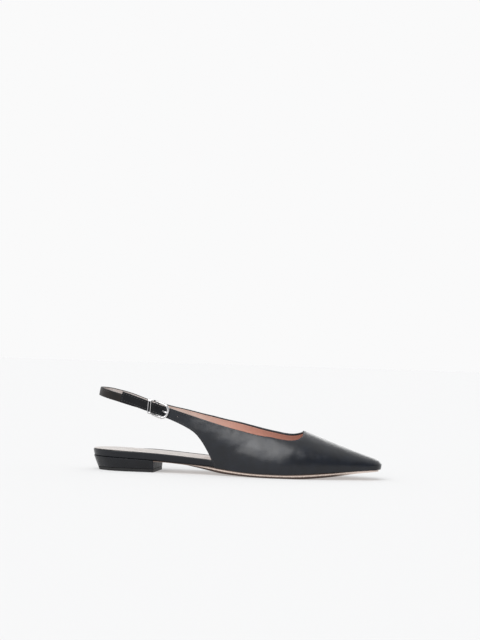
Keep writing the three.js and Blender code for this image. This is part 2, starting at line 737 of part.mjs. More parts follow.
// The insole, whose leather edge shows as a band round the seat and the waist.
function insoleGeometry() {
  const pairs = outlinePairs(SOLE_STATION_COUNT);
  const high = insetPairs(pairs, (x) => INSIDE_UPPER * tucked(x));
  const low = insetPairs(pairs, (x) => THREE.MathUtils.lerp(BAND_LEAN, INSIDE_UPPER, tucked(x)));
  const top = (x) => seatZ(x) - SOCK_THICK - GAP;
  return plateGeometry({ high, low, bottom: featherZ, top });
}

// The sock on the insole.
function sockGeometry() {
  const high = insetPairs(
    outlinePairs(SOLE_STATION_COUNT),
    (x) => SOCK_INSET + INSIDE_UPPER * tucked(x),
  );
  return plateGeometry({ high, bottom: (x) => seatZ(x) - SOCK_THICK, top: seatZ });
}

// A slice of the heel between two heights, tapering down from the seat's outline.
function heelSlice(low, high) {
  const stations = steps(HEEL_STATION_COUNT).map((v) => HEEL_LENGTH * (1 - Math.cos((v * Math.PI) / 2)));
  const rings = stations.map((x) => SQUARE_EDGE.map((spot) => {
    const z = THREE.MathUtils.lerp(low, high(x), spot.level);
    const drop = 1 - z / (featherZ(x) - GAP);
    const shift = (HEEL_BACK_SLANT * drop + HEEL_INSET) * (1 - x / HEEL_LENGTH);
    const inset = (HEEL_INSET + HEEL_SIDE_SLANT * drop) * Math.min(x / HEEL_EASE, 1);
    return new THREE.Vector3(
      x + shift,
      THREE.MathUtils.lerp(
        inset - featherHalf(LATERAL, x),
        featherHalf(MEDIAL, x) - inset,
        spot.across,
      ),
      z,
    );
  }));
  return geometryFrom(loft(rings, { capStart: false, capEnd: true }));
}

const strapRise = smooth(HEEL_STRAP, 'rise', 'around');
const BAR_OFF = -STRAP_THICK / 2;
const FOLD_RADIUS = BAR_RADIUS + GAP + FOLD_THICK;

// Plan line of the heel strap, from the medial quarter round the heel to the buckle's bar.
function heelStrapLine() {
  const reach = ANKLE_AT - STRAP_BACK;
  const turn = steps(120).map((v) => {
    const angle = Math.PI * (v - 0.5);
    return new THREE.Vector3(
      ANKLE_AT - reach * Math.cos(angle),
      -STRAP_HALF * Math.sin(angle),
      0,
    );
  });
  return [
    new THREE.Vector3(STRAP_OVERLAP_AT, STRAP_HALF, 0),
    ...turn,
    new THREE.Vector3(BAR_AT, -STRAP_HALF, 0),
  ];
}

function heelStrapGeometry() {
  const places = steps(HEEL_STRAP_STATION_COUNT);
  const line = evenly(heelStrapLine(), places);
  line.forEach((point, i) => {
    point.z = strapRise(places[i]) * STRAP_RISE;
  });
  const rings = line.map((point, i) => {
    const before = line[Math.max(i - 1, 0)];
    const after = line[Math.min(i + 1, line.length - 1)];
    const along = after.clone().sub(before).normalize();
    const out = new THREE.Vector3(along.y, -along.x, 0).normalize().multiplyScalar(-1);
    const up = out.clone().cross(along).normalize();
    const rise = up.z > 0 ? up : up.negate();
    const outward = strapOut(point.y > 0 ? MEDIAL : LATERAL, point.x);
    const back = Math.max((ANKLE_AT - point.x) / (ANKLE_AT - STRAP_BACK), 0);
    rise.x += (2 * STRAP_LEAN * back) / HEEL_STRAP_WIDTH;
    return [[1, 0], [0, 0], [-1, 0], [-1, 1], [0, 1], [1, 1]].map(([across, deep]) => (
      point.clone()
        .addScaledVector(rise, (across * HEEL_STRAP_WIDTH) / 2)
        .addScaledVector(outward, -deep * STRAP_THICK)));
  });
  const strap = solidFrom(geometryFrom(loft(rings)));
  const fold = solidFrom(rodGeometry(FOLD_RADIUS, HEEL_STRAP_WIDTH));
  const bore = solidFrom(rodGeometry(BAR_RADIUS + GAP, 2 * STRAP_WIDTH));
  const slot = solidFrom(slotGeometry());
  return geometryOf(strap.add(fold).subtract(bore).subtract(slot));
}

// The buckle's own axes: along the strap to the toe, outward, and up across the strap.
const BUCKLE_MIDDLE = new THREE.Vector3(BAR_AT, -STRAP_HALF, strapRise(1) * STRAP_RISE);
const ALONG = new THREE.Vector3(Math.cos(BUCKLE_SLOPE), 0, -Math.sin(BUCKLE_SLOPE));
const OUT = new THREE.Vector3(0, -1, 0);
const UP = new THREE.Vector3(Math.sin(BUCKLE_SLOPE), 0, Math.cos(BUCKLE_SLOPE));

function bucklePoint(along, off, up) {
  return BUCKLE_MIDDLE.clone()
    .addScaledVector(ALONG, along)
    .addScaledVector(OUT, off)
    .addScaledVector(UP, up);
}

// A round rod across the strap at the buckle's bar.
function rodGeometry(radius, length) {
  const rings = [-length / 2, length / 2].map((up) => steps(ROD_SIDE_COUNT).slice(1).map((v) => {
    const angle = 2 * Math.PI * v;
    return bucklePoint(radius * Math.cos(angle), BAR_OFF + radius * Math.sin(angle), up);
  }));
  return geometryFrom(loft(rings));
}

// The slot in the strap's fold, in which the prong turns on the bar.
function slotGeometry() {
  const reach = FOLD_RADIUS + GAP;
  const corners = [[-reach, -reach], [reach, -reach], [reach, reach], [-reach, reach]];
  const rings = [-PRONG_SLOT / 2, PRONG_SLOT / 2].map((up) => (
    corners.map(([along, off]) => bucklePoint(along, BAR_OFF + off, up))));
  return geometryFrom(loft(rings));
}

// A round wire along a line of points.
function wireGeometry(points, radius) {
  const rings = points.map((point, i) => {
    const before = points[Math.max(i - 1, 0)];
    const after = points[Math.min(i + 1, points.length - 1)];
    const along = after.clone().sub(before).normalize();
    const guide = Math.abs(along.dot(OUT)) > 0.9 ? ALONG : OUT;
    const across = along.clone().cross(guide).normalize();
    const second = along.clone().cross(across);
    return steps(WIRE_SIDE_COUNT).slice(1).map((v) => point.clone()
      .addScaledVector(across, radius * Math.cos(2 * Math.PI * v))
      .addScaledVector(second, radius * Math.sin(2 * Math.PI * v)));
  });
  return geometryFrom(loft(rings));
}

const FRAME_HALF = STRAP_WIDTH / 2 + FRAME_CLEARANCE + WIRE_RADIUS;
const quarterFace = (along) => standoff.lateral((BAR_AT + along) / LENGTH) * LAYER;
const FRAME_CROSSING = FRAME_REACH - 0.6 * FRAME_CORNER;
const FRONT_OFF = quarterFace(FRAME_CROSSING) + 1.5 * GAP + WIRE_RADIUS;
const frameOff = (along) => (
  THREE.MathUtils.lerp(BAR_OFF, FRONT_OFF, Math.min(along / FRAME_CROSSING, 1)));

// The frame: a D of round wire with its bar through the strap's fold.
function frameGeometry() {
  const straight = FRAME_REACH - FRAME_CORNER;
  const corner = (up, from) => steps(5).map((v) => {
    const angle = from + (v * Math.PI) / 2;
    return [
      straight + FRAME_CORNER * Math.cos(angle),
      up * (FRAME_HALF - FRAME_CORNER) + FRAME_CORNER * Math.sin(angle),
    ];
  });
  const hoop = [
    [0, -FRAME_HALF],
    [straight / 2, -FRAME_HALF],
    ...corner(-1, -Math.PI / 2),
    ...corner(1, 0),
    [straight / 2, FRAME_HALF],
    [0, FRAME_HALF],
  ];
  const points = hoop.map(([along, up]) => bucklePoint(along, frameOff(along), up));
  const bar = rodGeometry(BAR_RADIUS, 2 * FRAME_HALF);
  return geometryOf(solidFrom(wireGeometry(points, WIRE_RADIUS)).add(solidFrom(bar)));
}

// The prong: an eye on the bar, then a rod that comes up through the hole onto the frame.
function prongGeometry() {
  const hole = (PRONG_AT - BAR_AT) / Math.cos(BUCKLE_SLOPE);
  const under = quarterFace(hole) - WALL - GAP - PRONG_RADIUS;
  const over = quarterFace(hole) + GAP + PRONG_RADIUS;
  const rest = FRONT_OFF + WIRE_RADIUS + GAP + PRONG_RADIUS;
  const path = [
    [FOLD_RADIUS * 0.6, BAR_OFF - PRONG_RADIUS],
    [hole - 5.5 * PRONG_RADIUS, under - PRONG_RADIUS],
    [hole - 1.6 * PRONG_RADIUS, under],
    [hole, (under + over) / 2],
    [hole + 1.5 * PRONG_RADIUS, over],
    [FRAME_REACH - 2 * WIRE_RADIUS, rest],
    [FRAME_REACH + WIRE_RADIUS, rest - PRONG_RADIUS / 4],
  ];
  const curve = new THREE.CatmullRomCurve3(
    path.map(([along, off]) => bucklePoint(along, off, 0)),
    false,
    'centripetal',
  );
  const rod = solidFrom(wireGeometry(curve.getPoints(18), PRONG_RADIUS));
  const eye = [-PRONG_RADIUS, PRONG_RADIUS].map((up) => steps(ROD_SIDE_COUNT).slice(1).map((v) => {
    const angle = 2 * Math.PI * v;
    const reach = BAR_RADIUS + GAP + PRONG_RADIUS;
    return bucklePoint(reach * Math.cos(angle), BAR_OFF + reach * Math.sin(angle), up);
  }));
  const bore = solidFrom(rodGeometry(BAR_RADIUS + GAP / 2, 4 * PRONG_RADIUS));
  return geometryOf(rod.add(solidFrom(geometryFrom(loft(eye)))).subtract(bore));
}

// The keeper: a flat metal loop round the heel strap and the strap end.
function keeperGeometry() {
  const lowOff = -STRAP_THICK - GAP;
  const highOff = quarterFace(-KEEPER_BEHIND_BAR) + 2 * GAP;
  const middle = (lowOff + highOff) / 2;
  const loop = (grow) => [[1, 1], [-1, 1], [-1, -1], [1, -1]].flatMap(([off, up], k) => (
    steps(4).map((v) => {
      const angle = ((k + v) * Math.PI) / 2;
      const corner = KEEPER_CORNER + grow;
      const deep = (highOff - lowOff) / 2 - KEEPER_CORNER;
      const wide = STRAP_WIDTH / 2 + KEEPER_CLEARANCE - KEEPER_CORNER;
      return [
        middle + off * deep + corner * Math.cos(angle),
        up * wide + corner * Math.sin(angle),
      ];
    })));
  const tube = (grow, width) => geometryFrom(loft([-width / 2, width / 2].map((along) => (
    loop(grow).map(([off, up]) => (
      bucklePoint(along - KEEPER_BEHIND_BAR - KEEPER_LEAN * up, off, up)))))));
  return geometryOf(solidFrom(tube(KEEPER_WALL, KEEPER_WIDTH))
    .subtract(solidFrom(tube(0, 2 * KEEPER_WIDTH))));
}

function leather(color, roughness) {
  return new THREE.MeshStandardMaterial({ color, roughness, metalness: 0 });
}

const blackLeather = leather('#2c2f33', 0.45);
const blackRubber = leather('#1c1d1f', 0.7);
const nudeLeather = leather('#c3ab9c', 0.6);
const creamLeather = leather('#e6dfd8', 0.7);
const silver = new THREE.MeshStandardMaterial({ color: '#c9cbce', roughness: 0.2, metalness: 1 });

const shoe = new THREE.Group();

function addPiece(name, geometry, material) {
  const mesh = new THREE.Mesh(geometry, material);
  mesh.name = name;
  shoe.add(mesh);
}

addPiece('upper', upperGeometry(), blackLeather);
addPiece('outsole', outsoleGeometry(), nudeLeather);
addPiece('insole', insoleGeometry(), blackLeather);
addPiece('sock', sockGeometry(), creamLeather);
addPiece('heel_block', heelSlice(LIFT_THICK + GAP, (x) => featherZ(x) - GAP), blackLeather);
addPiece('top_lift', heelSlice(0, () => LIFT_THICK), blackRubber);
addPiece('heel_strap', heelStrapGeometry(), blackLeather);
addPiece('buckle_frame', frameGeometry(), silver);
addPiece('buckle_prong', prongGeometry(), silver);
addPiece('buckle_keeper', keeperGeometry(), silver);

// The origin is under the middle of the shoe's box, on the floor.
const box = new THREE.Box3().setFromObject(shoe);
const middle = box.getCenter(new THREE.Vector3());
shoe.position.set(-middle.x, -middle.y, -box.min.z);
shoe.updateMatrixWorld(true);

export default shoe;
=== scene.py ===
import logging
import math
from collections.abc import Callable, Iterator
from dataclasses import dataclass, field
from enum import Enum, IntEnum

import bmesh
import bpy
from mathutils import Matrix, Vector
from mathutils.bvhtree import BVHTree
from mathutils.kdtree import KDTree


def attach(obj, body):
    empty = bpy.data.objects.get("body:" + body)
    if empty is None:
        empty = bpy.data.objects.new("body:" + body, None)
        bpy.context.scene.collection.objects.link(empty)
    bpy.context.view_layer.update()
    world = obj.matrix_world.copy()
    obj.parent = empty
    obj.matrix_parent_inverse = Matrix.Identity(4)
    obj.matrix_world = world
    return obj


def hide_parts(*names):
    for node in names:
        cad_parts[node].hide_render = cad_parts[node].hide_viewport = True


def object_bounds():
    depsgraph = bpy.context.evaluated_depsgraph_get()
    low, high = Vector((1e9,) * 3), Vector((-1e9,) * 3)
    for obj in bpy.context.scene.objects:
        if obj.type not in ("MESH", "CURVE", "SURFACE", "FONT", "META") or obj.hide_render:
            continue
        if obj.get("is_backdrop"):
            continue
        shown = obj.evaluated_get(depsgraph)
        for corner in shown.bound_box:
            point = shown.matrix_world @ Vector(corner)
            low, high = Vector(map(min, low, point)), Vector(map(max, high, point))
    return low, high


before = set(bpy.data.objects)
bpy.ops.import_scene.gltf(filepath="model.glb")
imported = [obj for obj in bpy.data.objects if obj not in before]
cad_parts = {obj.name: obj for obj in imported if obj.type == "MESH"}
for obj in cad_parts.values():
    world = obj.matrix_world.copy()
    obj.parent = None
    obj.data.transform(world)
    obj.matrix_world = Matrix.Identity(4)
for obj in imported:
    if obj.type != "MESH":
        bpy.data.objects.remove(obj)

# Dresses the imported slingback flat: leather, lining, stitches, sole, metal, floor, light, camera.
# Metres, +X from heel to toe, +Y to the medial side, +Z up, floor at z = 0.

LOG = logging.getLogger("slingback")
BODY = "root"
MM = 0.001
MERGE = 1e-6
NOISE_LOW, NOISE_HIGH = 0.3, 0.7
DISTANCE_STEP = 0.25 * MM

Colour = tuple[float, float, float]


class Side(IntEnum):
    """Which side of the shoe, as the sign of y."""

    LATERAL = -1
    MEDIAL = 1


class Patch(IntEnum):
    """Faces of a leather wall, in the order of its material slots."""

    OUTER = 0
    INNER = 1
    EDGE = 2
    # The strap end's outer face, painted darker as shade.
    STRAP_END = 3


class Slot(Enum):
    """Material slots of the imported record."""

    BLACK_LEATHER = "black_leather"
    NUDE_LEATHER = "nude_leather"
    CREAM_LEATHER = "cream_leather"
    BLACK_RUBBER = "black_rubber"
    SILVER_METAL = "silver_metal"


def srgb(red: int, green: int, blue: int) -> Colour:
    """Turns a colour as seen on a screen into the linear colour that a shader takes.

    Args:
        red: Red from 0 to 255.
        green: Green from 0 to 255.
        blue: Blue from 0 to 255.

    Returns:
        The linear red, green and blue.
    """
    def linear(value: int) -> float:
        """One channel, by the sRGB curve."""
        share = value / 255
        return share / 12.92 if share <= 0.04045 else ((share + 0.055) / 1.055) ** 2.4

    return linear(red), linear(green), linear(blue)


def smoothstep(value: float, low: float, high: float) -> float:
    """Smooth step from 0 at low to 1 at high.

    Args:
        value: Where the step is read.
        low: Where the step starts.
        high: Where the step ends.

    Returns:
        The step's height, from 0 to 1.
    """
    share = min(max((value - low) / (high - low), 0.0), 1.0)
    return share * share * (3 - 2 * share)


@dataclass(frozen=True)
class Last:
    """The shoe's own measure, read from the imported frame."""

    low: Vector
    high: Vector

    @property
    def length(self) -> float:
        """Length from heel to toe."""
        return self.high.x - self.low.x

    def along(self, share: float) -> float:
        """The x of a share of the length, counted from the heel."""
        return self.low.x + share * self.length

    def share(self, x: float) -> float:
        """The share of the length at an x."""
        return (x - self.low.x) / self.length


class Shader:
    """A material's node tree, built one node at a time."""

    def __init__(self, name: str) -> None:
        """Starts an empty material.

        Args:
            name: The material's name.
        """
        self.material = bpy.data.materials.new(name)
        self.material.use_nodes = True
        self.tree = self.material.node_tree
        self.tree.nodes.clear()
        self.output = self.node("ShaderNodeOutputMaterial")
        self.principled = self.node("ShaderNodeBsdfPrincipled")
        self.link(self.principled.outputs["BSDF"], self.output.inputs["Surface"])
        self.place = self.node("ShaderNodeTexCoord").outputs["Object"]

    def node(self, kind: str, **settings: object) -> bpy.types.Node:
        """Adds one node.

        Args:
            kind: The node's type.
            settings: Properties of the node, or values of its inputs by lower-case name.

        Returns:
            The new node.
        """
        made = self.tree.nodes.new(kind)
        inputs = {
            socket.name.lower().replace(" ", "_"): socket for socket in reversed(made.inputs)
        }
        for name, value in settings.items():
            if hasattr(made, name):
                setattr(made, name, value)
            else:
                inputs[name].default_value = value
        return made

    def link(self, out: bpy.types.NodeSocket, into: bpy.types.NodeSocket) -> None:
        """Joins two sockets."""
        self.tree.links.new(out, into)

    def noise(self, size: float, detail: float = 2.0) -> bpy.types.NodeSocket:
        """Soft noise over the surface.

        Args:
            size: Rough size of a patch, in metres.
            detail: How much finer noise is laid over it.

        Returns:
            The noise's value, about 0.3 to 0.7.
        """
        made = self.node("ShaderNodeTexNoise", scale=1 / size, detail=detail)
        self.link(self.place, made.inputs["Vector"])
        return made.outputs["Fac"]

    def cells(self, size: float) -> bpy.types.NodeSocket:
        """Cells of a grain.

        Args:
            size: Size of a cell, in metres.

        Returns:
            The distance to the cell's middle.
        """
        made = self.node("ShaderNodeTexVoronoi", feature="F1", scale=1 / size)
        self.link(self.place, made.inputs["Vector"])
        return made.outputs["Distance"]

    def attribute(self, name: str) -> bpy.types.NodeSocket:
        """The value of a number stored on the mesh's points."""
        return self.node("ShaderNodeAttribute", attribute_name=name).outputs["Fac"]

    def length_axis(self) -> bpy.types.NodeSocket:
        """The x of the surface, from heel to toe.

        Returns:
            The x, in metres.
        """
        split = self.node("ShaderNodeSeparateXYZ")
        self.link(self.place, split.inputs[0])
        return split.outputs["X"]

    def ramp(
        self,
        value: bpy.types.NodeSocket,
        low: float,
        high: float,
        low_to: float = 0.0,
        high_to: float = 1.0,
    ) -> bpy.types.NodeSocket:
        """Maps a value from one range to another, smoothly and held at the ends.

        Args:
            value: The value to map.
            low: Where the range starts.
            high: Where the range ends.
            low_to: What the start becomes.
            high_to: What the end becomes.

        Returns:
            The mapped value.
        """
        made = self.node(
            "ShaderNodeMapRange",
            interpolation_type="SMOOTHSTEP",
            from_min=low,
            from_max=high,
            to_min=low_to,
            to_max=high_to,
        )
        self.link(value, made.inputs["Value"])
        return made.outputs["Result"]

    def blend(
        self,
        share: bpy.types.NodeSocket,
        first: Colour | bpy.types.NodeSocket,
        second: Colour | bpy.types.NodeSocket,
    ) -> bpy.types.NodeSocket:
        """Mixes two colours.

        Args:
            share: The second colour's share.
            first: A colour, or a socket that gives one.
            second: A colour, or a socket that gives one.

        Returns:
            The mixed colour.
        """
        made = self.node("ShaderNodeMix", data_type="RGBA")
        self.link(share, made.inputs[0])
        for socket, colour in ((made.inputs[6], first), (made.inputs[7], second)):
            if isinstance(colour, bpy.types.NodeSocket):
                self.link(colour, socket)
            else:
                socket.default_value = (*colour, 1.0)
        return made.outputs[2]

    def add(
        self, first: bpy.types.NodeSocket, second: bpy.types.NodeSocket, share: float
    ) -> bpy.types.NodeSocket:
        """Adds a share of one value to another.

        Args:
            first: The value that is taken whole.
            second: The value that is added.
            share: How much of the second is added.

        Returns:
            The sum.
        """
        made = self.node("ShaderNodeMath", operation="MULTIPLY_ADD")
        self.link(second, made.inputs[0])
        made.inputs[1].default_value = share
        self.link(first, made.inputs[2])
        return made.outputs["Value"]

    def bump(self, height: bpy.types.NodeSocket, depth: float) -> None:
        """Gives the surface a relief.

        Args:
            height: The relief's shape.
            depth: How deep the relief is, in metres.
        """
        made = self.node("ShaderNodeBump", strength=1.0, distance=depth)
        self.link(height, made.inputs["Height"])
        self.link(made.outputs["Normal"], self.principled.inputs["Normal"])

    def colour(self, value: Colour | bpy.types.NodeSocket) -> None:
        """Sets the surface's colour.

        Args:
            value: A colour, or a socket that gives one.
        """
        socket = self.principled.inputs["Base Color"]
        if isinstance(value, bpy.types.NodeSocket):
            self.link(value, socket)
        else:
            socket.default_value = (*value, 1.0)

    def roughness(self, value: float | bpy.types.NodeSocket) -> None:
        """Sets the surface's roughness.

        Args:
            value: A roughness, or a socket that gives one.
        """
        socket = self.principled.inputs["Roughness"]
        if isinstance(value, bpy.types.NodeSocket):
            self.link(value, socket)
        else:
            socket.default_value = value


@dataclass(frozen=True)
class Leather:
    """A leather: a mottled colour under a grain of fine cells."""

    name: str
    deep: Colour
    face: Colour
    roughness: float
    spread: float = 0.05
    grain: float = 0.55 * MM
    depth: float = 0.02 * MM
    wave: float = 0.0
    mottle: float = 9 * MM
    specular: float = 0.5
    rim: Colour | None = None
    rim_width: float = 1.9 * MM
    far: Colour | None = None
    far_from: float = 0.0
    far_to: float = 0.1
    fine: float = 0.4
    cell_from: float = 0.1
    cell_to: float = 0.75
    wrinkles: float = 0.5
    drape_size: float = 1.3
    rim_blur: float = 0.1

    def build(self) -> bpy.types.Material:
        """Builds the material.

        Returns:
            The material. With a rim colour it reads the rim attribute, the distance in metres
            to the piece's cut edges, and with a far colour it turns to that colour along x.
        """
        shader = Shader(self.name)
        mottle = shader.ramp(shader.noise(self.mottle, 4.0), NOISE_LOW, NOISE_HIGH)
        colour = shader.blend(mottle, self.deep, self.face)
        # On the lining the far colour is painted light: a brighter, redder colour towards the
        # throat that lifts the shade deep inside the shoe.
        if self.far is not None:
            toward = shader.ramp(shader.length_axis(), self.far_from, self.far_to)
            colour = shader.blend(toward, colour, self.far)
        if self.rim is not None:
            inside = shader.ramp(
                shader.attribute("rim"),
                (1 - self.rim_blur) * self.rim_width,
                (1 + self.rim_blur) * self.rim_width,
            )
            colour = shader.blend(inside, self.rim, colour)
        shader.colour(colour)
        rough = shader.ramp(
            shader.noise(self.fine * self.mottle, 3.0),
            NOISE_LOW,
            NOISE_HIGH,
            self.roughness - self.spread,
            self.roughness + self.spread,
        )
        shader.roughness(rough)
        shader.principled.inputs["Specular IOR Level"].default_value = self.specular
        pebbles = shader.ramp(shader.cells(self.grain), self.cell_from, self.cell_to, 1.0, 0.0)
        wrinkled = shader.noise(self.fine * self.grain, 3.0)
        relief = shader.add(pebbles, wrinkled, self.wrinkles)
        if self.wave > 0:
            drape = shader.noise(self.drape_size * self.mottle, 1.0)
            relief = shader.add(relief, drape, self.wave / self.depth)
        shader.bump(relief, self.depth)
        return shader.material


@dataclass(frozen=True)
class SoleEdge:
    """The edge of a leather sole: pale between two dark brown lines, partly ink and partly painted
    shade, dark all over behind the waist, and paler towards the toe as a painted highlight.
    """

    name: str
    pale: Colour
    # Dark brown of the lines and of the edge behind the waist: partly ink, partly painted shade
    # where the sole meets the upper and the floor.
    ink_and_shade: Colour
    roughness: float
    lower_from: float = 0.5
    lower_to: float = 0.64
    upper_from: float = 0.8
    upper_to: float = 0.92
    # Painted highlight: the paler colour that the edge turns to towards the toe, for floor light
    # where the sole lifts off the floor.
    toe: Colour = (0.0, 0.0, 0.0)
    dark_to: float = 0.0
    pale_from: float = 0.01
    toe_from: float = 0.09
    toe_full: float = 0.1
    fibre_size: float = 1.2 * MM
    fibre_depth: float = 0.03 * MM
    fibre_low: float = 0.35
    fibre_high: float = 0.65
    tan_share: float = 0.72
    waver: float = 0.08

    def build(self) -> bpy.types.Material:
        """Builds the material.

        Returns:
            The material, which reads the level attribute: 0 at the sole's tread, 1 at its top.
        """
        shader = Shader(self.name)
        level = shader.attribute("level")
        fibre = shader.noise(self.fibre_size, 4.0)
        wavy = shader.add(level, fibre, self.waver)
        above = shader.ramp(wavy, self.upper_from, self.upper_to)
        below = shader.ramp(wavy, self.lower_from, self.lower_to)
        tan = tuple(self.tan_share * channel for channel in self.pale)
        mottle = shader.ramp(fibre, self.fibre_low, self.fibre_high)
        body = shader.blend(mottle, tan, self.pale)
        # Dark brown lines at the foot and top of the edge: partly ink, partly painted shade in the
        # gaps at the floor and under the upper.
        with_foot = shader.blend(below, self.ink_and_shade, body)
        with_both = shader.blend(above, with_foot, self.ink_and_shade)
        along = shader.length_axis()
        # Behind the waist the whole edge takes the dark brown.
        past_waist = shader.ramp(along, self.dark_to, self.pale_from)
        # Towards the toe the edge turns to the paler toe colour without the dark lines: a painted
        # highlight where the sole lifts off the floor.
        near_toe = shader.ramp(along, self.toe_from, self.toe_full)
        behind_toe = shader.blend(past_waist, self.ink_and_shade, with_both)
        shader.colour(shader.blend(near_toe, behind_toe, self.toe))
        shader.roughness(self.roughness)
        shader.bump(fibre, self.fibre_depth)
        return shader.material


@dataclass(frozen=True)
class Metal:
    """Polished metal with faint wear in its tint and gloss."""

    name: str
    tint: Colour
    roughness: float
    wear_size: float = 1.5 * MM
    wear_tint: float = 0.8
    wear_roughness: float = 2.2
    ripple_size: float = 0.5 * MM
    ripple_depth: float = 0.004 * MM

    def build(self) -> bpy.types.Material:
        """Builds the material.

        Returns:
            The material.
        """
        shader = Shader(self.name)
        worn = shader.noise(self.wear_size, 4.0)
        worn_tint = tuple(self.wear_tint * channel for channel in self.tint)
        shader.colour(shader.blend(shader.ramp(worn, 0.3, 0.8), self.tint, worn_tint))
        dull = self.wear_roughness * self.roughness
        shader.roughness(shader.ramp(worn, 0.35, 0.75, self.roughness, dull))
        shader.principled.inputs["Metallic"].default_value = 1.0
        shader.bump(shader.noise(self.ripple_size, 3.0), self.ripple_depth)
        return shader.material


@dataclass(frozen=True)
class Rubber:
    """Dense matte rubber with a sanded edge."""

    name: str
    tint: Colour
    roughness: float
    spread: float = 0.08
    dust_size: float = 2.5 * MM
    dust_tint: float = 2.2
    grit_size: float = 0.35 * MM
    grit_depth: float = 0.03 * MM

    def build(self) -> bpy.types.Material:
        """Builds the material.

        Returns:
            The material.
        """
        shader = Shader(self.name)
        dust = shader.noise(self.dust_size, 5.0)
        grey = tuple(self.dust_tint * channel for channel in self.tint)
        shader.colour(shader.blend(shader.ramp(dust, 0.45, 0.75), self.tint, grey))
        smoothest, roughest = self.roughness - self.spread, self.roughness + self.spread
        shader.roughness(shader.ramp(dust, NOISE_LOW, NOISE_HIGH, smoothest, roughest))
        shader.bump(shader.noise(self.grit_size, 4.0), self.grit_depth)
        return shader.material


@dataclass(frozen=True)
class Thread:
    """Waxed sewing thread, twisted."""

    name: str
    tint: Colour
    roughness: float = 0.6
    sheen: float = 0.2
    fuzz_size: float = 0.3 * MM
    fuzz_depth: float = 0.02 * MM
    fuzz_tint: float = 1.6

    def build(self) -> bpy.types.Material:
        """Builds the material.

        Returns:
            The material.
        """
        shader = Shader(self.name)
        fuzz = shader.noise(self.fuzz_size, 2.0)
        lit = tuple(self.fuzz_tint * channel for channel in self.tint)
        shader.colour(shader.blend(shader.ramp(fuzz, NOISE_LOW, NOISE_HIGH), self.tint, lit))
        shader.roughness(self.roughness)
        shader.principled.inputs["Sheen Weight"].default_value = self.sheen
        shader.bump(fuzz, self.fuzz_depth)
        return shader.material


class Finishes:
    """Every finish of the shoe, built once."""

    def __init__(self, last: Last) -> None:
        """Builds the materials.

        Args:
            last: The shoe's measure, for colours that change along it.
        """
        black = srgb(15, 19, 27)
        deep = srgb(10, 13, 19)
        self.upper = Leather(
            "upper_nappa", deep, black, 0.3, spread=0.02, depth=0.013 * MM, wave=0.5 * MM,
            specular=0.45,
        ).build()
        # A darker, less glossy copy of the upper's nappa: painted shade on the strap end, and a
        # painted dark reflection in the keeper's sunken middle.
        self.strap_end = Leather(
            "strap_end_nappa", srgb(8, 9, 12), srgb(13, 15, 19), 0.34, specular=0.2
        ).build()
        self.upper_edge = Leather("folded_edge", deep, black, 0.45, specular=0.3).build()
        # Kid lining, turning along x to a brighter, redder colour towards the throat: painted light
        # lifting the shade deep inside the shoe.
        self.lining = Leather(
            "kid_lining",
            srgb(164, 147, 137),
            srgb(178, 161, 151),
            0.55,
            grain=0.7 * MM,
            mottle=14 * MM,
            rim=deep,
            rim_width=0.8 * MM,
            far=srgb(208, 152, 134),
            far_from=last.along(0.2),
            far_to=last.along(0.6),
        ).build()
        self.strap = Leather(
            "strap_leather", srgb(17, 15, 15), srgb(30, 23, 19), 0.38, specular=0.24
        ).build()
        self.strap_lining = Leather(
            "strap_lining", srgb(172, 161, 155), srgb(188, 179, 174), 0.6, rim=srgb(30, 26, 25),
            rim_width=0.5 * MM,
        ).build()
        self.wrap = Leather("footbed_wrap", deep, srgb(16, 18, 23), 0.34, specular=0.35).build()
        self.sock = Leather(
            "sock_leather", srgb(179, 173, 169), srgb(186, 181, 177), 0.6, grain=0.8 * MM,
            mottle=20 * MM,
        ).build()
        self.heel = Leather(
            "heel_cover", srgb(10, 11, 15), srgb(15, 17, 22), 0.3, grain=0.45 * MM, specular=0.35
        ).build()
        self.heel_matt = Leather(
            "heel_breast_cover", deep, black, 0.5, grain=0.45 * MM, specular=0.2
        ).build()
        # The sole's edge: dark brown lines, partly painted shade, and a paler toe, a painted
        # highlight.
        self.sole_edge = SoleEdge(
            "sole_edge", srgb(202, 184, 171), srgb(52, 34, 25), 0.45,
            toe=srgb(232, 214, 202), dark_to=last.along(0.32), pale_from=last.along(0.42),
            toe_from=last.along(0.84), toe_full=last.along(0.94),
        ).build()
        self.sole = Leather(
            "sole_leather", srgb(200, 178, 164), srgb(216, 197, 185), 0.5, grain=0.9 * MM,
            mottle=25 * MM,
        ).build()
        self.rubber = Rubber("top_lift_rubber", srgb(14, 14, 15), 0.62).build()
        self.metal = Metal("silver_metal", (0.66, 0.65, 0.65), 0.18).build()
        self.thread = Thread("black_thread", srgb(30, 29, 30)).build()
        self.lining_thread = Thread("lining_thread", srgb(178, 140, 124)).build()


def deselect() -> None:
    """Leaves nothing selected."""
    for item in bpy.context.selected_objects:
        item.select_set(False)


def activate(piece: bpy.types.Object) -> None:
    """Makes one object the only selected one.

    Args:
        piece: The object.
    """
    deselect()
    piece.select_set(True)
    bpy.context.view_layer.objects.active = piece


def copy_node(node: str, name: str) -> bpy.types.Object:
    """Copies a CAD node, merges its loose triangles and joins them to four-sided faces.

    Args:
        node: The CAD node.
        name: The new piece's name.

    Returns:
        The new piece, at the origin as the node is.
    """
    piece = bpy.data.objects.new(name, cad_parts[node].data.copy())
    bpy.context.scene.collection.objects.link(piece)
    activate(piece)
    bpy.ops.mesh.customdata_custom_splitnormals_clear()
    bpy.ops.object.mode_set(mode="EDIT")
    bpy.ops.mesh.select_all(action="SELECT")
    bpy.ops.mesh.remove_doubles(threshold=MERGE)
    bpy.ops.mesh.tris_convert_to_quads(face_threshold=math.pi, shape_threshold=math.pi)
    bpy.ops.object.mode_set(mode="OBJECT")
    piece.data.materials.clear()
    return piece


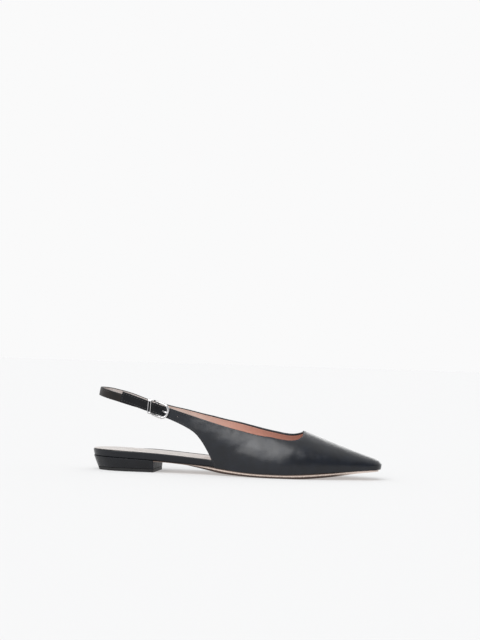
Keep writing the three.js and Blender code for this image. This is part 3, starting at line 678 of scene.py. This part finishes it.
def apply_modifier(piece: bpy.types.Object, kind: str, **settings: object) -> None:
    """Adds a modifier and applies it.

    Args:
        piece: The object.
        kind: The modifier's type.
        settings: The modifier's properties.
    """
    activate(piece)
    made = piece.modifiers.new(kind.lower(), kind)
    for name, value in settings.items():
        setattr(made, name, value)
    bpy.ops.object.modifier_apply(modifier=made.name)


def subdivide(piece: bpy.types.Object, levels: int, holds: int = 0) -> None:
    """Applies a subdivision surface.

    Args:
        piece: The object.
        levels: How often each face is divided.
        holds: How often the corners are first moved out, so that the smooth surface keeps
            to the size of the solid that it rounds.
    """
    corners = [vert.co.copy() for vert in piece.data.vertices]
    for _ in range(holds):
        trial = piece.copy()
        trial.data = piece.data.copy()
        bpy.context.scene.collection.objects.link(trial)
        apply_modifier(trial, "SUBSURF", levels=levels, render_levels=levels)
        smooth = trial.data
        for vert, corner, moved in zip(piece.data.vertices, corners, smooth.vertices):
            vert.co += corner - moved.co
        bpy.data.objects.remove(trial)
        bpy.data.meshes.remove(smooth)
    apply_modifier(piece, "SUBSURF", levels=levels, render_levels=levels)


def round_edges(piece: bpy.types.Object, width: float, angle: float = 50.0) -> None:
    """Rounds a piece's sharp edges.

    Args:
        piece: The object.
        width: How far the rounding reaches, in metres.
        angle: The least angle between two faces that counts as an edge, in degrees.
    """
    apply_modifier(
        piece,
        "BEVEL",
        width=width,
        segments=3,
        limit_method="ANGLE",
        angle_limit=math.radians(angle),
        use_clamp_overlap=False,
    )


def crease_edges(mesh: bpy.types.Mesh, crease: float, angle: float = 50.0) -> None:
    """Keeps the edges between patches, and other sharp edges, through a subdivision.

    Args:
        mesh: The mesh, whose faces have their material slots.
        crease: How sharp the edges between patches stay, from 0 to 1.
        angle: The least angle at which any other edge stays fully sharp, in degrees.
    """
    shape = bmesh.new()
    shape.from_mesh(mesh)
    layer = shape.edges.layers.float.get("crease_edge")
    if layer is None:
        layer = shape.edges.layers.float.new("crease_edge")
    for edge in shape.edges:
        slots = {face.material_index for face in edge.link_faces}
        if len(slots) > 1:
            edge[layer] = crease
        elif edge.calc_face_angle(0.0) > math.radians(angle):
            edge[layer] = 1.0
    shape.to_mesh(mesh)
    shape.free()


def flood_patches(mesh: bpy.types.Mesh, angle: float) -> None:
    """Sorts a wall's faces into outer, inner and edge by material slot.

    The faces are grouped where they meet more bluntly than an angle. The largest group is the
    outer face, the next the inner face, and all the rest are edges.

    Args:
        mesh: The mesh of a leather wall.
        angle: The angle at which two faces belong to different groups, in degrees.
    """
    shape = bmesh.new()
    shape.from_mesh(mesh)
    limit = math.radians(angle)
    groups: list[list[bmesh.types.BMFace]] = []
    seen: set[int] = set()
    for start in shape.faces:
        if start.index in seen:
            continue
        seen.add(start.index)
        group, waiting = [], [start]
        while waiting:
            face = waiting.pop()
            group.append(face)
            for edge in face.edges:
                if edge.calc_face_angle(math.pi) >= limit:
                    continue
                for other in edge.link_faces:
                    if other.index not in seen:
                        seen.add(other.index)
                        waiting.append(other)
        groups.append(group)
    groups.sort(key=lambda faces: -sum(face.calc_area() for face in faces))
    for rank, group in enumerate(groups):
        for face in group:
            face.material_index = min(rank, Patch.EDGE)
    shape.to_mesh(mesh)
    shape.free()


def sort_faces(
    mesh: bpy.types.Mesh, slot_of: Callable[[bpy.types.MeshPolygon], int]
) -> None:
    """Gives each face the material slot that a rule names for it.

    Args:
        mesh: The mesh.
        slot_of: The rule, from a face to its slot.
    """
    for face in mesh.polygons:
        face.material_index = slot_of(face)


def seam_loops(mesh: bpy.types.Mesh, first: int, second: int) -> list[list[Vector]]:
    """Finds the lines where two patches meet.

    Args:
        mesh: The mesh, whose faces have their material slots.
        first: One patch's slot.
        second: The other patch's slot.

    Returns:
        Each line's points in order, longest line first.
    """
    shape = bmesh.new()
    shape.from_mesh(mesh)
    shape.edges.ensure_lookup_table()
    left = {
        edge.index
        for edge in shape.edges
        if {face.material_index for face in edge.link_faces} == {first, second}
    }
    loops = []
    while left:
        edge = shape.edges[min(left)]
        left.remove(edge.index)
        line = [edge.verts[0], edge.verts[1]]
        growing = True
        while growing:
            ahead = next((item for item in line[-1].link_edges if item.index in left), None)
            growing = ahead is not None
            if growing:
                left.remove(ahead.index)
                line.append(ahead.other_vert(line[-1]))
        loops.append([vert.co.copy() for vert in line])
    shape.free()
    return sorted(loops, key=lambda line: -line_length(line))


def line_length(line: list[Vector]) -> float:
    """Length of a line of points."""
    return sum((b - a).length for a, b in zip(line, line[1:]))


def walk(line: list[Vector], step: float) -> Iterator[tuple[Vector, Vector]]:
    """Walks along a line in even steps.

    Args:
        line: The line's points.
        step: The distance between two stops.

    Yields:
        Each stop and the direction there.
    """
    left = step / 2
    for start, end in zip(line, line[1:]):
        span = (end - start).length
        while span > 0 and left <= span:
            yield start.lerp(end, left / span), (end - start).normalized()
            left += step
        left -= span


def write_distance(mesh: bpy.types.Mesh, name: str, lines: list[list[Vector]]) -> None:
    """Stores each point's distance to some lines on the mesh.

    Args:
        mesh: The mesh.
        name: The attribute's name.
        lines: The lines' points.
    """
    points = [point for line in lines for point, _ in walk(line, DISTANCE_STEP)]
    tree = KDTree(len(points))
    for index, point in enumerate(points):
        tree.insert(point, index)
    tree.balance()
    values = [tree.find(vert.co)[2] for vert in mesh.vertices]
    attribute = mesh.attributes.new(name, "FLOAT", "POINT")
    attribute.data.foreach_set("value", values)


def dress(piece: bpy.types.Object, slot: Slot, *materials: bpy.types.Material) -> None:
    """Gives a piece its materials, smooth shading and its body.

    Args:
        piece: The object.
        slot: The record's slot; not used.
        materials: The materials, in the order of the piece's patches.
    """
    for material in materials:
        piece.data.materials.append(material)
    activate(piece)
    bpy.ops.object.shade_smooth()
    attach(piece, BODY)


@dataclass
class Stitching:
    """Rows of sewn stitches laid on a leather surface."""

    pitch: float = 2.7 * MM
    length: float = 2.0 * MM
    thickness: float = 0.42 * MM
    inset: float = 1.5 * MM
    sink: float = 0.06 * MM
    flatness: float = 0.8
    dip: float = 0.3
    lift: float = 0.25
    least_inset: float = 0.5
    gap_limit: float = 0.35

    def base(self) -> bpy.types.Mesh:
        """Models one stitch: a short rod with round ends that dips at both.

        Returns:
            The stitch's mesh, along x with its top to z.
        """
        deselect()
        bpy.ops.mesh.primitive_uv_sphere_add(segments=8, ring_count=5, radius=0.5)
        stitch = bpy.context.object
        bpy.ops.object.mode_set(mode="EDIT")
        bpy.ops.mesh.select_all(action="SELECT")
        height = self.flatness * self.thickness
        bpy.ops.transform.resize(value=(self.length, self.thickness, height))
        bpy.ops.object.mode_set(mode="OBJECT")
        for vert in stitch.data.vertices:
            vert.co.z -= self.dip * self.thickness * (2 * vert.co.x / self.length) ** 2
        mesh = stitch.data
        bpy.data.objects.remove(stitch)
        return mesh

    def sew(
        self,
        name: str,
        cloth: bpy.types.Object,
        lines: list[list[Vector]],
        patch: Patch,
        material: bpy.types.Material,
        keep: Callable[[Vector], bool],
    ) -> bpy.types.Object:
        """Sews a row beside each line.

        Args:
            name: The new piece's name.
            cloth: The leather piece that the stitches lie on.
            lines: The edge lines that the rows follow.
            patch: The patch of the leather that the rows lie on.
            material: The thread's material.
            keep: Whether a point of an edge line gets a stitch.

        Returns:
            All the stitches as one piece.
        """
        base = self.base()
        surface = cloth.data
        faces = [face for face in surface.polygons if face.material_index == patch]
        tree = BVHTree.FromPolygons(
            [vert.co for vert in surface.vertices], [tuple(face.vertices) for face in faces]
        )
        verts: list[Vector] = []
        polygons: list[list[int]] = []
        for line in lines:
            for point, along in walk(line, self.pitch):
                place = self.place(tree, point, along) if keep(point) else None
                if place is None:
                    continue
                start = len(verts)
                verts.extend(place @ vert.co for vert in base.vertices)
                polygons.extend([start + i for i in face.vertices] for face in base.polygons)
        mesh = bpy.data.meshes.new(name)
        mesh.from_pydata(verts, [], polygons)
        piece = bpy.data.objects.new(name, mesh)
        bpy.context.scene.collection.objects.link(piece)
        dress(piece, Slot.BLACK_LEATHER, material)
        return piece

    def place(self, tree: BVHTree, point: Vector, along: Vector) -> Matrix | None:
        """Finds where a stitch lies beside a point of the edge.

        Args:
            tree: The leather's surface.
            point: The point on the edge line.
            along: The line's direction there.

        Returns:
            The stitch's place, or None where the surface ends.
        """
        near, normal, _, _ = tree.find_nearest(point)
        side = normal.cross(along).normalized()
        spots = []
        for sign in (1, -1):
            spot, up, _, gap = tree.find_nearest(point + sign * self.inset * side)
            spots.append((gap, spot, up))
        gap, spot, up = min(spots, key=lambda item: item[0])
        too_near = (spot - near).length < self.least_inset * self.inset
        if too_near or gap > self.gap_limit * self.inset:
            return None
        across = up.cross(along).normalized()
        ahead = across.cross(up).normalized()
        turn = Matrix((ahead, across, up)).transposed().to_4x4()
        rise = self.lift * self.thickness - self.sink
        return Matrix.Translation(spot + rise * up) @ turn


@dataclass(frozen=True)
class Crease:
    """A soft trough or ridge in the upper, given in shares of the shoe's length.

    The line runs from start to end, each given as a share of the length and a height in metres.
    A positive depth is a trough and a negative one a ridge.
    """

    side: Side
    start: tuple[float, float]
    end: tuple[float, float]
    width: float
    depth: float
    fade_from: float = 4 * MM
    fade_to: float = 14 * MM

    def at(self, last: Last, point: Vector) -> float:
        """How far the surface moves inward at a point.

        Args:
            last: The shoe's measure.
            point: The point.

        Returns:
            The move in metres, which fades out towards the ridge of the vamp.
        """
        if point.y * self.side < 0:
            return 0.0
        first = Vector((last.along(self.start[0]), self.start[1]))
        second = Vector((last.along(self.end[0]), self.end[1]))
        run = second - first
        here = Vector((point.x, point.z)) - first
        share = min(max(here.dot(run) / run.length_squared, 0.0), 1.0)
        away = (here - share * run).length / self.width
        fade = smoothstep(abs(point.y), self.fade_from, self.fade_to)
        return self.depth * math.exp(-away * away) * fade


@dataclass
class Upper:
    """The upper: nappa outside, kid lining inside, folded and stitched at its edges."""

    last: Last
    finishes: Finishes
    crease: float = 0.36
    toe_crease: float = 0.5
    foot_crease: float = 0.9
    toe_from: float = 0.965
    toe_angle: float = 22.0
    flood_angle: float = 60.0
    ease_rounds: int = 8
    ease_factor: float = 0.5
    press_lift: float = 0.35
    strap_end_to: float = 0.268
    feather_height: float = 13 * MM
    strap_sewn_to: float = 0.44
    hole_draw: float = 0.4 * MM
    hole_reach: float = 2.2
    hole_depth: float = 3.0
    creases: tuple[Crease, ...] = field(default_factory=lambda: (
        Crease(Side.LATERAL, (0.49, 19 * MM), (0.57, 32 * MM), 5 * MM, 0.28 * MM),
        Crease(Side.LATERAL, (0.44, 24 * MM), (0.49, 37 * MM), 5 * MM, -0.15 * MM),
        Crease(Side.MEDIAL, (0.49, 19 * MM), (0.57, 32 * MM), 5 * MM, 0.28 * MM),
        Crease(Side.MEDIAL, (0.44, 24 * MM), (0.49, 37 * MM), 5 * MM, -0.15 * MM),
    ))

    def build(self) -> None:
        """Builds the upper and its stitches."""
        piece = copy_node("upper", "upper_leather")
        flood_patches(piece.data, self.flood_angle)
        crease_edges(piece.data, self.crease)
        self.crease_toe(piece.data)
        subdivide(piece, 2, holds=2)
        self.ease(piece.data)
        self.shape(piece.data)
        outer = seam_loops(piece.data, Patch.OUTER, Patch.EDGE)
        inner = seam_loops(piece.data, Patch.INNER, Patch.EDGE)
        self.draw_hole(piece.data, outer[1:])
        write_distance(piece.data, "rim", inner)
        dress(
            piece,
            Slot.BLACK_LEATHER,
            self.finishes.upper,
            self.finishes.lining,
            self.finishes.upper_edge,
            self.finishes.strap_end,
        )
        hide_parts("upper")
        LOG.info("upper: %d faces", len(piece.data.polygons))
        self.stitch(piece, outer[:1], inner[:1])
        self.paint_strap_end_shade(piece.data)

    def crease_toe(self, mesh: bpy.types.Mesh) -> None:
        """Keeps the corners of the snipped toe through the subdivision.

        Args:
            mesh: The upper's mesh.
        """
        shape = bmesh.new()
        shape.from_mesh(mesh)
        layer = shape.edges.layers.float["crease_edge"]
        for edge in shape.edges:
            at_toe = all(self.last.share(vert.co.x) > self.toe_from for vert in edge.verts)
            turn = edge.calc_face_angle(0.0)
            if at_toe and turn > math.radians(self.toe_angle):
                low = all(vert.co.z < self.feather_height for vert in edge.verts)
                edge[layer] = max(edge[layer], self.foot_crease if low else self.toe_crease)
        shape.to_mesh(mesh)
        shape.free()

    def ease(self, mesh: bpy.types.Mesh) -> None:
        """Evens out both faces of the wall behind the toe, away from their edges.

        Args:
            mesh: The upper's mesh.
        """
        shape = bmesh.new()
        shape.from_mesh(mesh)
        inside = [
            vert
            for vert in shape.verts
            if len({face.material_index for face in vert.link_faces}) == 1
            and vert.link_faces[0].material_index != Patch.EDGE
            and self.last.share(vert.co.x) < self.toe_from
        ]
        for _ in range(self.ease_rounds):
            bmesh.ops.smooth_vert(
                shape,
                verts=inside,
                factor=self.ease_factor,
                use_axis_x=True,
                use_axis_y=True,
                use_axis_z=True,
            )
        shape.to_mesh(mesh)
        shape.free()

    def shape(self, mesh: bpy.types.Mesh) -> None:
        """Presses the creases into both faces of the wall.

        Args:
            mesh: The upper's mesh.
        """
        for vert in mesh.vertices:
            depth = sum(crease.at(self.last, vert.co) for crease in self.creases)
            side = math.copysign(1.0, vert.co.y)
            vert.co -= depth * Vector((0.0, side, self.press_lift)).normalized()

    def draw_hole(self, mesh: bpy.types.Mesh, rims: list[list[Vector]]) -> None:
        """Draws the spare hole together, as leather does round a hole that holds no prong.

        Args:
            mesh: The upper's mesh.
            rims: The rims of the strap end's holes on the outer face.
        """
        rim = max(rims, key=lambda line: line[0].x)[1:]
        centre = sum(rim, Vector()) / len(rim)
        axis = sum(
            ((a - centre).cross(b - centre) for a, b in zip(rim, rim[1:])), Vector()
        ).normalized()
        radius = sum((point - centre).length for point in rim) / len(rim)
        for vert in mesh.vertices:
            out = vert.co - centre
            depth = out.dot(axis)
            out -= depth * axis
            reach = self.hole_reach * radius
            if abs(depth) < self.hole_depth * radius and out.length < reach:
                share = 1 - smoothstep(out.length, radius, reach)
                vert.co -= self.hole_draw * share * out.normalized()

    def paint_strap_end_shade(self, mesh: bpy.types.Mesh) -> None:
        """Paints the strap end's outer face, as far as the buckle's front, with a darker, less
        glossy copy of the nappa: painted shade.

        Args:
            mesh: The upper's mesh.
        """
        for face in mesh.polygons:
            behind = self.last.share(face.center.x) < self.strap_end_to
            beside = face.center.y * Side.LATERAL > 0
            if face.material_index == Patch.OUTER and behind and beside:
                face.material_index = Patch.STRAP_END

    def sewn(self, point: Vector) -> bool:
        """Whether an edge point gets a stitch: all but the feather line."""
        return point.z > self.feather_height or self.last.share(point.x) < self.strap_sewn_to

    def stitch(
        self,
        piece: bpy.types.Object,
        outer: list[list[Vector]],
        inner: list[list[Vector]],
    ) -> None:
        """Sews the topline, the cut-outs and the strap end, outside and inside.

        Args:
            piece: The upper.
            outer: The outer face's edge line.
            inner: The inner face's edge line.
        """
        sewing = Stitching()
        sewing.sew(
            "upper_stitches", piece, outer, Patch.OUTER, self.finishes.thread, self.sewn
        )
        made = sewing.sew(
            "lining_stitches", piece, inner, Patch.INNER, self.finishes.lining_thread, self.sewn
        )
        LOG.info("stitches: %d faces", len(made.data.polygons))


@dataclass
class HeelStrap:
    """The heel strap: lined leather, stitched along both edges, folded round the buckle's bar."""

    last: Last
    finishes: Finishes
    crease: float = 0.36
    middle_share: float = 0.14
    edge_tilt: float = 0.6
    inset: float = 1.3 * MM

    def slot_of(self, face: bpy.types.MeshPolygon) -> int:
        """Sorts a face by whether it looks away from the heel's middle, up or down.

        Args:
            face: A face of the strap.

        Returns:
            Its patch.
        """
        if abs(face.normal.z) > self.edge_tilt:
            return Patch.EDGE
        middle = Vector((self.last.along(self.middle_share), 0.0, face.center.z))
        away = face.normal.dot(face.center - middle)
        return Patch.OUTER if away > 0 else Patch.INNER

    def build(self) -> None:
        """Builds the strap and its stitches."""
        piece = copy_node("heel_strap", "heel_strap_leather")
        sort_faces(piece.data, self.slot_of)
        crease_edges(piece.data, self.crease)
        subdivide(piece, 2)
        outer = seam_loops(piece.data, Patch.OUTER, Patch.EDGE)
        inner = seam_loops(piece.data, Patch.INNER, Patch.EDGE)
        write_distance(piece.data, "rim", inner)
        dress(
            piece,
            Slot.BLACK_LEATHER,
            self.finishes.strap,
            self.finishes.strap_lining,
            self.finishes.upper_edge,
        )
        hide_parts("heel_strap")
        sewing = Stitching(inset=self.inset)
        sewing.sew(
            "strap_stitches", piece, outer[:1], Patch.OUTER, self.finishes.thread, lambda _: True
        )
        LOG.info("heel strap: %d faces", len(piece.data.polygons))


@dataclass
class Footbed:
    """The wrapped insole and the sock on it."""

    last: Last
    finishes: Finishes
    wrap_round: float = 0.7 * MM
    sock_round: float = 0.22 * MM
    medial_rise: float = 1.6 * MM
    lateral_rise: float = 0.8 * MM
    rim_from: float = 0.08
    rim_full: float = 0.2
    top_tilt: float = 0.3
    edge_tilt_from: float = 0.2
    edge_tilt_full: float = 0.45

    def raise_rim(self, mesh: bpy.types.Mesh) -> None:
        """Lifts the wrap's upper edge on both sides, where it stands over the sock.

        Args:
            mesh: The wrap's mesh.
        """
        for vert in mesh.vertices:
            if vert.normal.z <= self.top_tilt:
                continue
            rise = self.medial_rise if vert.co.y * Side.MEDIAL > 0 else self.lateral_rise
            edge = smoothstep(abs(vert.normal.y), self.edge_tilt_from, self.edge_tilt_full)
            along = smoothstep(self.last.share(vert.co.x), self.rim_from, self.rim_full)
            vert.co.z += rise * edge * along

    def build(self) -> None:
        """Builds the insole's wrap and the sock."""
        wrap = copy_node("insole", "footbed_wrap")
        crease_edges(wrap.data, 1.0)
        subdivide(wrap, 2)
        self.raise_rim(wrap.data)
        round_edges(wrap, self.wrap_round)
        dress(wrap, Slot.BLACK_LEATHER, self.finishes.wrap)
        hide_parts("insole")
        sock = copy_node("sock", "sock_leather")
        crease_edges(sock.data, 1.0)
        subdivide(sock, 2)
        round_edges(sock, self.sock_round)
        dress(sock, Slot.CREAM_LEATHER, self.finishes.sock)
        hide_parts("sock")
        LOG.info("footbed: %d faces", len(wrap.data.polygons) + len(sock.data.polygons))


class SolePatch(IntEnum):
    """Faces of the sole, in the order of its material slots."""

    EDGE = 0
    TOP = 1
    TREAD = 2


@dataclass
class Bottom:
    """The leather outsole, the heel block and its top lift."""

    finishes: Finishes
    heel_round: float = 0.3 * MM
    lift_round: float = 0.2 * MM
    matt_tilt: float = 0.7
    top_tilt: float = 0.7
    tread_tilt: float = 0.85

    def heel_slot(self, face: bpy.types.MeshPolygon) -> int:
        """The matt finish, slot 1, where the heel looks up or to the waist, else slot 0."""
        return int(max(face.normal.x, face.normal.z) > self.matt_tilt)

    def sole_patch(self, face: bpy.types.MeshPolygon) -> int:
        """Sorts a face of the sole by how far it looks up or down.

        Args:
            face: A face of the sole.

        Returns:
            Its patch.
        """
        if face.normal.z > self.top_tilt:
            return SolePatch.TOP
        return SolePatch.TREAD if face.normal.z < -self.tread_tilt else SolePatch.EDGE

    def build(self) -> None:
        """Builds the three pieces."""
        self.outsole()
        heel = copy_node("heel_block", "heel_block_cover")
        sort_faces(heel.data, self.heel_slot)
        crease_edges(heel.data, 1.0)
        subdivide(heel, 2)
        round_edges(heel, self.heel_round)
        dress(heel, Slot.BLACK_LEATHER, self.finishes.heel, self.finishes.heel_matt)
        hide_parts("heel_block")
        lift = copy_node("top_lift", "top_lift_rubber")
        crease_edges(lift.data, 1.0)
        subdivide(lift, 2)
        round_edges(lift, self.lift_round)
        dress(lift, Slot.BLACK_RUBBER, self.finishes.rubber)
        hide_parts("top_lift")
        LOG.info("heel: %d faces", len(heel.data.polygons) + len(lift.data.polygons))

    def outsole(self) -> None:
        """Builds the outsole with its edge: pale between dark brown lines that are partly ink and
        partly painted shade.
        """
        sole = copy_node("outsole", "outsole_leather")
        sort_faces(sole.data, self.sole_patch)
        crease_edges(sole.data, 1.0)
        subdivide(sole, 2)
        top = seam_loops(sole.data, SolePatch.EDGE, SolePatch.TOP)
        tread = seam_loops(sole.data, SolePatch.EDGE, SolePatch.TREAD)
        self.write_level(sole.data, top, tread)
        dress(
            sole,
            Slot.NUDE_LEATHER,
            self.finishes.sole_edge,
            self.finishes.sole_edge,
            self.finishes.sole,
        )
        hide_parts("outsole")
        LOG.info("outsole: %d faces", len(sole.data.polygons))

    def write_level(
        self, mesh: bpy.types.Mesh, top: list[list[Vector]], tread: list[list[Vector]]
    ) -> None:
        """Stores how high each point lies in the sole's edge, 0 at the tread and 1 at the top.

        Args:
            mesh: The sole's mesh.
            top: The lines between edge and top.
            tread: The lines between edge and tread.
        """
        write_distance(mesh, "from_top", top)
        write_distance(mesh, "from_tread", tread)
        high = [item.value for item in mesh.attributes["from_top"].data]
        low = [item.value for item in mesh.attributes["from_tread"].data]
        level = mesh.attributes.new("level", "FLOAT", "POINT")
        level.data.foreach_set("value", [b / max(a + b, MERGE) for a, b in zip(high, low)])
        for name in ("from_top", "from_tread"):
            mesh.attributes.remove(mesh.attributes[name])


@dataclass
class Buckle:
    """The buckle's frame, prong and keeper in polished metal."""

    finishes: Finishes
    smooth_angle: float = 40.0
    joint_angle: float = 62.0
    plating: float = 0.28 * MM
    keeper_round: float = 0.25 * MM
    keeper_rim: float = 0.75 * MM
    keeper_recess: float = 0.35 * MM
    keeper_tilt: float = 0.9

    def paint_keeper_dark_reflection(self, mesh: bpy.types.Mesh) -> None:
        """Sinks the middle of the keeper's outer face and paints it with the dark nappa, a painted
        dark reflection, leaving a rim of bare metal round it.

        Args:
            mesh: The keeper's mesh.
        """
        shape = bmesh.new()
        shape.from_mesh(mesh)
        outward = Vector((0.0, float(Side.LATERAL), 0.0))
        facing = [face for face in shape.faces if face.normal.dot(outward) > self.keeper_tilt]
        front = max(facing, key=lambda face: face.calc_center_median().dot(outward))
        bmesh.ops.inset_region(
            shape, faces=[front], thickness=self.keeper_rim, depth=-self.keeper_recess
        )
        # Painted dark reflection: the sunken middle takes the dark nappa instead of metal.
        front.material_index = 1
        shape.to_mesh(mesh)
        shape.free()

    def build(self) -> None:
        """Builds the three metal pieces."""
        for node, name, is_wire in (
            ("buckle_frame", "buckle_frame_wire", True),
            ("buckle_prong", "buckle_prong_wire", True),
            ("buckle_keeper", "buckle_keeper_loop", False),
        ):
            piece = copy_node(node, name)
            if is_wire:
                crease_edges(piece.data, 1.0, self.joint_angle)
                subdivide(piece, 2, holds=2)
                apply_modifier(piece, "DISPLACE", strength=self.plating, mid_level=0.0)
            else:
                self.paint_keeper_dark_reflection(piece.data)
                round_edges(piece, self.keeper_round)
            # The second material, the dark nappa, is a painted dark reflection in the keeper's
            # sunken middle.
            dress(piece, Slot.SILVER_METAL, self.finishes.metal, self.finishes.strap_end)
            bpy.ops.object.shade_smooth_by_angle(angle=math.radians(self.smooth_angle))
            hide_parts(node)
            LOG.info("%s: %d faces", name, len(piece.data.polygons))


@dataclass(frozen=True)
class Lamp:
    """A large soft light so far off that it lights the whole floor evenly."""

    name: str
    azimuth: float
    elevation: float
    spread: float
    strength: float

    def build(self) -> None:
        """Builds the light, which shines from its azimuth and elevation, in degrees."""
        light = bpy.data.lights.new(self.name, "SUN")
        light.energy = self.strength
        light.angle = math.radians(self.spread)
        lamp = bpy.data.objects.new(self.name, light)
        azimuth, elevation = math.radians(self.azimuth), math.radians(self.elevation)
        toward = Vector((
            math.cos(azimuth) * math.cos(elevation),
            math.sin(azimuth) * math.cos(elevation),
            math.sin(elevation),
        ))
        lamp.rotation_euler = toward.to_track_quat("Z", "Y").to_euler()
        bpy.context.scene.collection.objects.link(lamp)


@dataclass
class Studio:
    """Pale floor, even white surroundings and large soft lights from the front and behind."""

    surroundings: Colour = (0.955, 0.955, 0.957)
    dim: Colour = (0.3, 0.32, 0.36)
    dim_toward: tuple[float, float, float] = (0.42, -0.83, 0.36)
    dim_core: float = 0.92
    dim_reach: float = 0.4
    lamps: tuple[Lamp, ...] = (
        Lamp("key", azimuth=-100.0, elevation=54.0, spread=44.0, strength=2.1),
        Lamp("side", azimuth=-106.0, elevation=26.0, spread=32.0, strength=1.0),
        Lamp("back", azimuth=82.0, elevation=16.0, spread=26.0, strength=0.26),
    )
    floor_tint: Colour = (0.392, 0.392, 0.392)
    floor_glow: float = 0.35
    floor_reach: float = 60.0

    def build(self) -> None:
        """Builds the floor and the light."""
        bpy.context.scene.view_settings.view_transform = "Standard"
        deselect()
        bpy.ops.mesh.primitive_circle_add(
            vertices=64, radius=self.floor_reach, fill_type="NGON"
        )
        floor = bpy.context.object
        floor.name = "floor"
        shader = Shader("floor_paper")
        shader.colour(self.floor_tint)
        shader.roughness(1.0)
        shader.principled.inputs["Specular IOR Level"].default_value = 0.0
        shader.principled.inputs["Emission Color"].default_value = (1.0, 1.0, 1.0, 1.0)
        shader.principled.inputs["Emission Strength"].default_value = self.floor_glow
        floor.data.materials.append(shader.material)
        floor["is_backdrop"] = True
        bpy.context.scene.world = self.room()
        for lamp in self.lamps:
            lamp.build()

    def room(self) -> bpy.types.World:
        """Builds the surroundings: white, but dimmer high in front on the toe's side.

        Returns:
            The world.
        """
        world = bpy.data.worlds.new("studio")
        world.use_nodes = True
        tree = world.node_tree
        toward = tree.nodes.new("ShaderNodeVectorMath")
        toward.operation = "DOT_PRODUCT"
        toward.inputs[1].default_value = Vector(self.dim_toward).normalized()
        place = tree.nodes.new("ShaderNodeTexCoord")
        tree.links.new(place.outputs["Generated"], toward.inputs[0])
        share = tree.nodes.new("ShaderNodeMapRange")
        share.interpolation_type = "SMOOTHSTEP"
        share.inputs["From Min"].default_value = self.dim_reach
        share.inputs["From Max"].default_value = self.dim_core
        tree.links.new(toward.outputs["Value"], share.inputs["Value"])
        colour = tree.nodes.new("ShaderNodeMix")
        colour.data_type = "RGBA"
        colour.inputs[6].default_value = (*self.surroundings, 1.0)
        colour.inputs[7].default_value = (*self.dim, 1.0)
        tree.links.new(share.outputs["Result"], colour.inputs[0])
        tree.links.new(colour.outputs[2], tree.nodes["Background"].inputs["Color"])
        return world


@dataclass
class Viewpoint:
    """The photograph's camera."""

    last: Last
    azimuth: float = 8.0
    elevation: float = 3.0
    roll: float = -1.776
    distance: float = 1.4
    target_share: float = 0.5
    target_height: float = 30 * MM
    target_column: float = 240.21
    target_row: float = 441.62
    metres_per_pixel: float = 0.92617556 * MM
    picture: tuple[int, int] = (480, 640)
    sensor: float = 36.0

    def build(self) -> None:
        """Places the camera so that the shoe's middle falls on its pixel."""
        width, height = self.picture
        focal = self.distance / self.metres_per_pixel
        azimuth, elevation = math.radians(self.azimuth), math.radians(self.elevation)
        back = Vector((
            math.sin(azimuth) * math.cos(elevation),
            -math.cos(azimuth) * math.cos(elevation),
            math.sin(elevation),
        ))
        right = Vector((math.cos(azimuth), math.sin(azimuth), 0.0))
        base = Matrix((right, back.cross(right), back))
        pan = math.atan((self.target_column - width / 2) / focal)
        tilt = math.atan((height / 2 - self.target_row) / focal)
        turn = (
            Matrix.Rotation(math.radians(self.roll), 3, "Z")
            @ Matrix.Rotation(tilt, 3, "X")
            @ Matrix.Rotation(-pan, 3, "Y")
            @ base
        )
        data = bpy.data.cameras.new("photo_view")
        data.sensor_width = self.sensor
        data.lens = focal * self.sensor / height
        data.clip_end = 200.0
        camera = bpy.data.objects.new("photo_view", data)
        target = Vector((self.last.along(self.target_share), 0.0, self.target_height))
        camera.matrix_world = (
            Matrix.Translation(target + self.distance * back) @ turn.transposed().to_4x4()
        )
        bpy.context.scene.collection.objects.link(camera)
        bpy.context.scene.camera = camera


def main() -> None:
    """Builds the camera, the studio and each part of the shoe."""
    logging.basicConfig(level=logging.INFO, format="%(message)s")
    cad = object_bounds()
    last = Last(*cad)
    Viewpoint(last).build()
    Studio().build()
    finishes = Finishes(last)
    for part in (
        Upper(last, finishes),
        HeelStrap(last, finishes),
        Footbed(last, finishes),
        Bottom(finishes),
        Buckle(finishes),
    ):
        part.build()


if __name__ == "__main__":
    main()
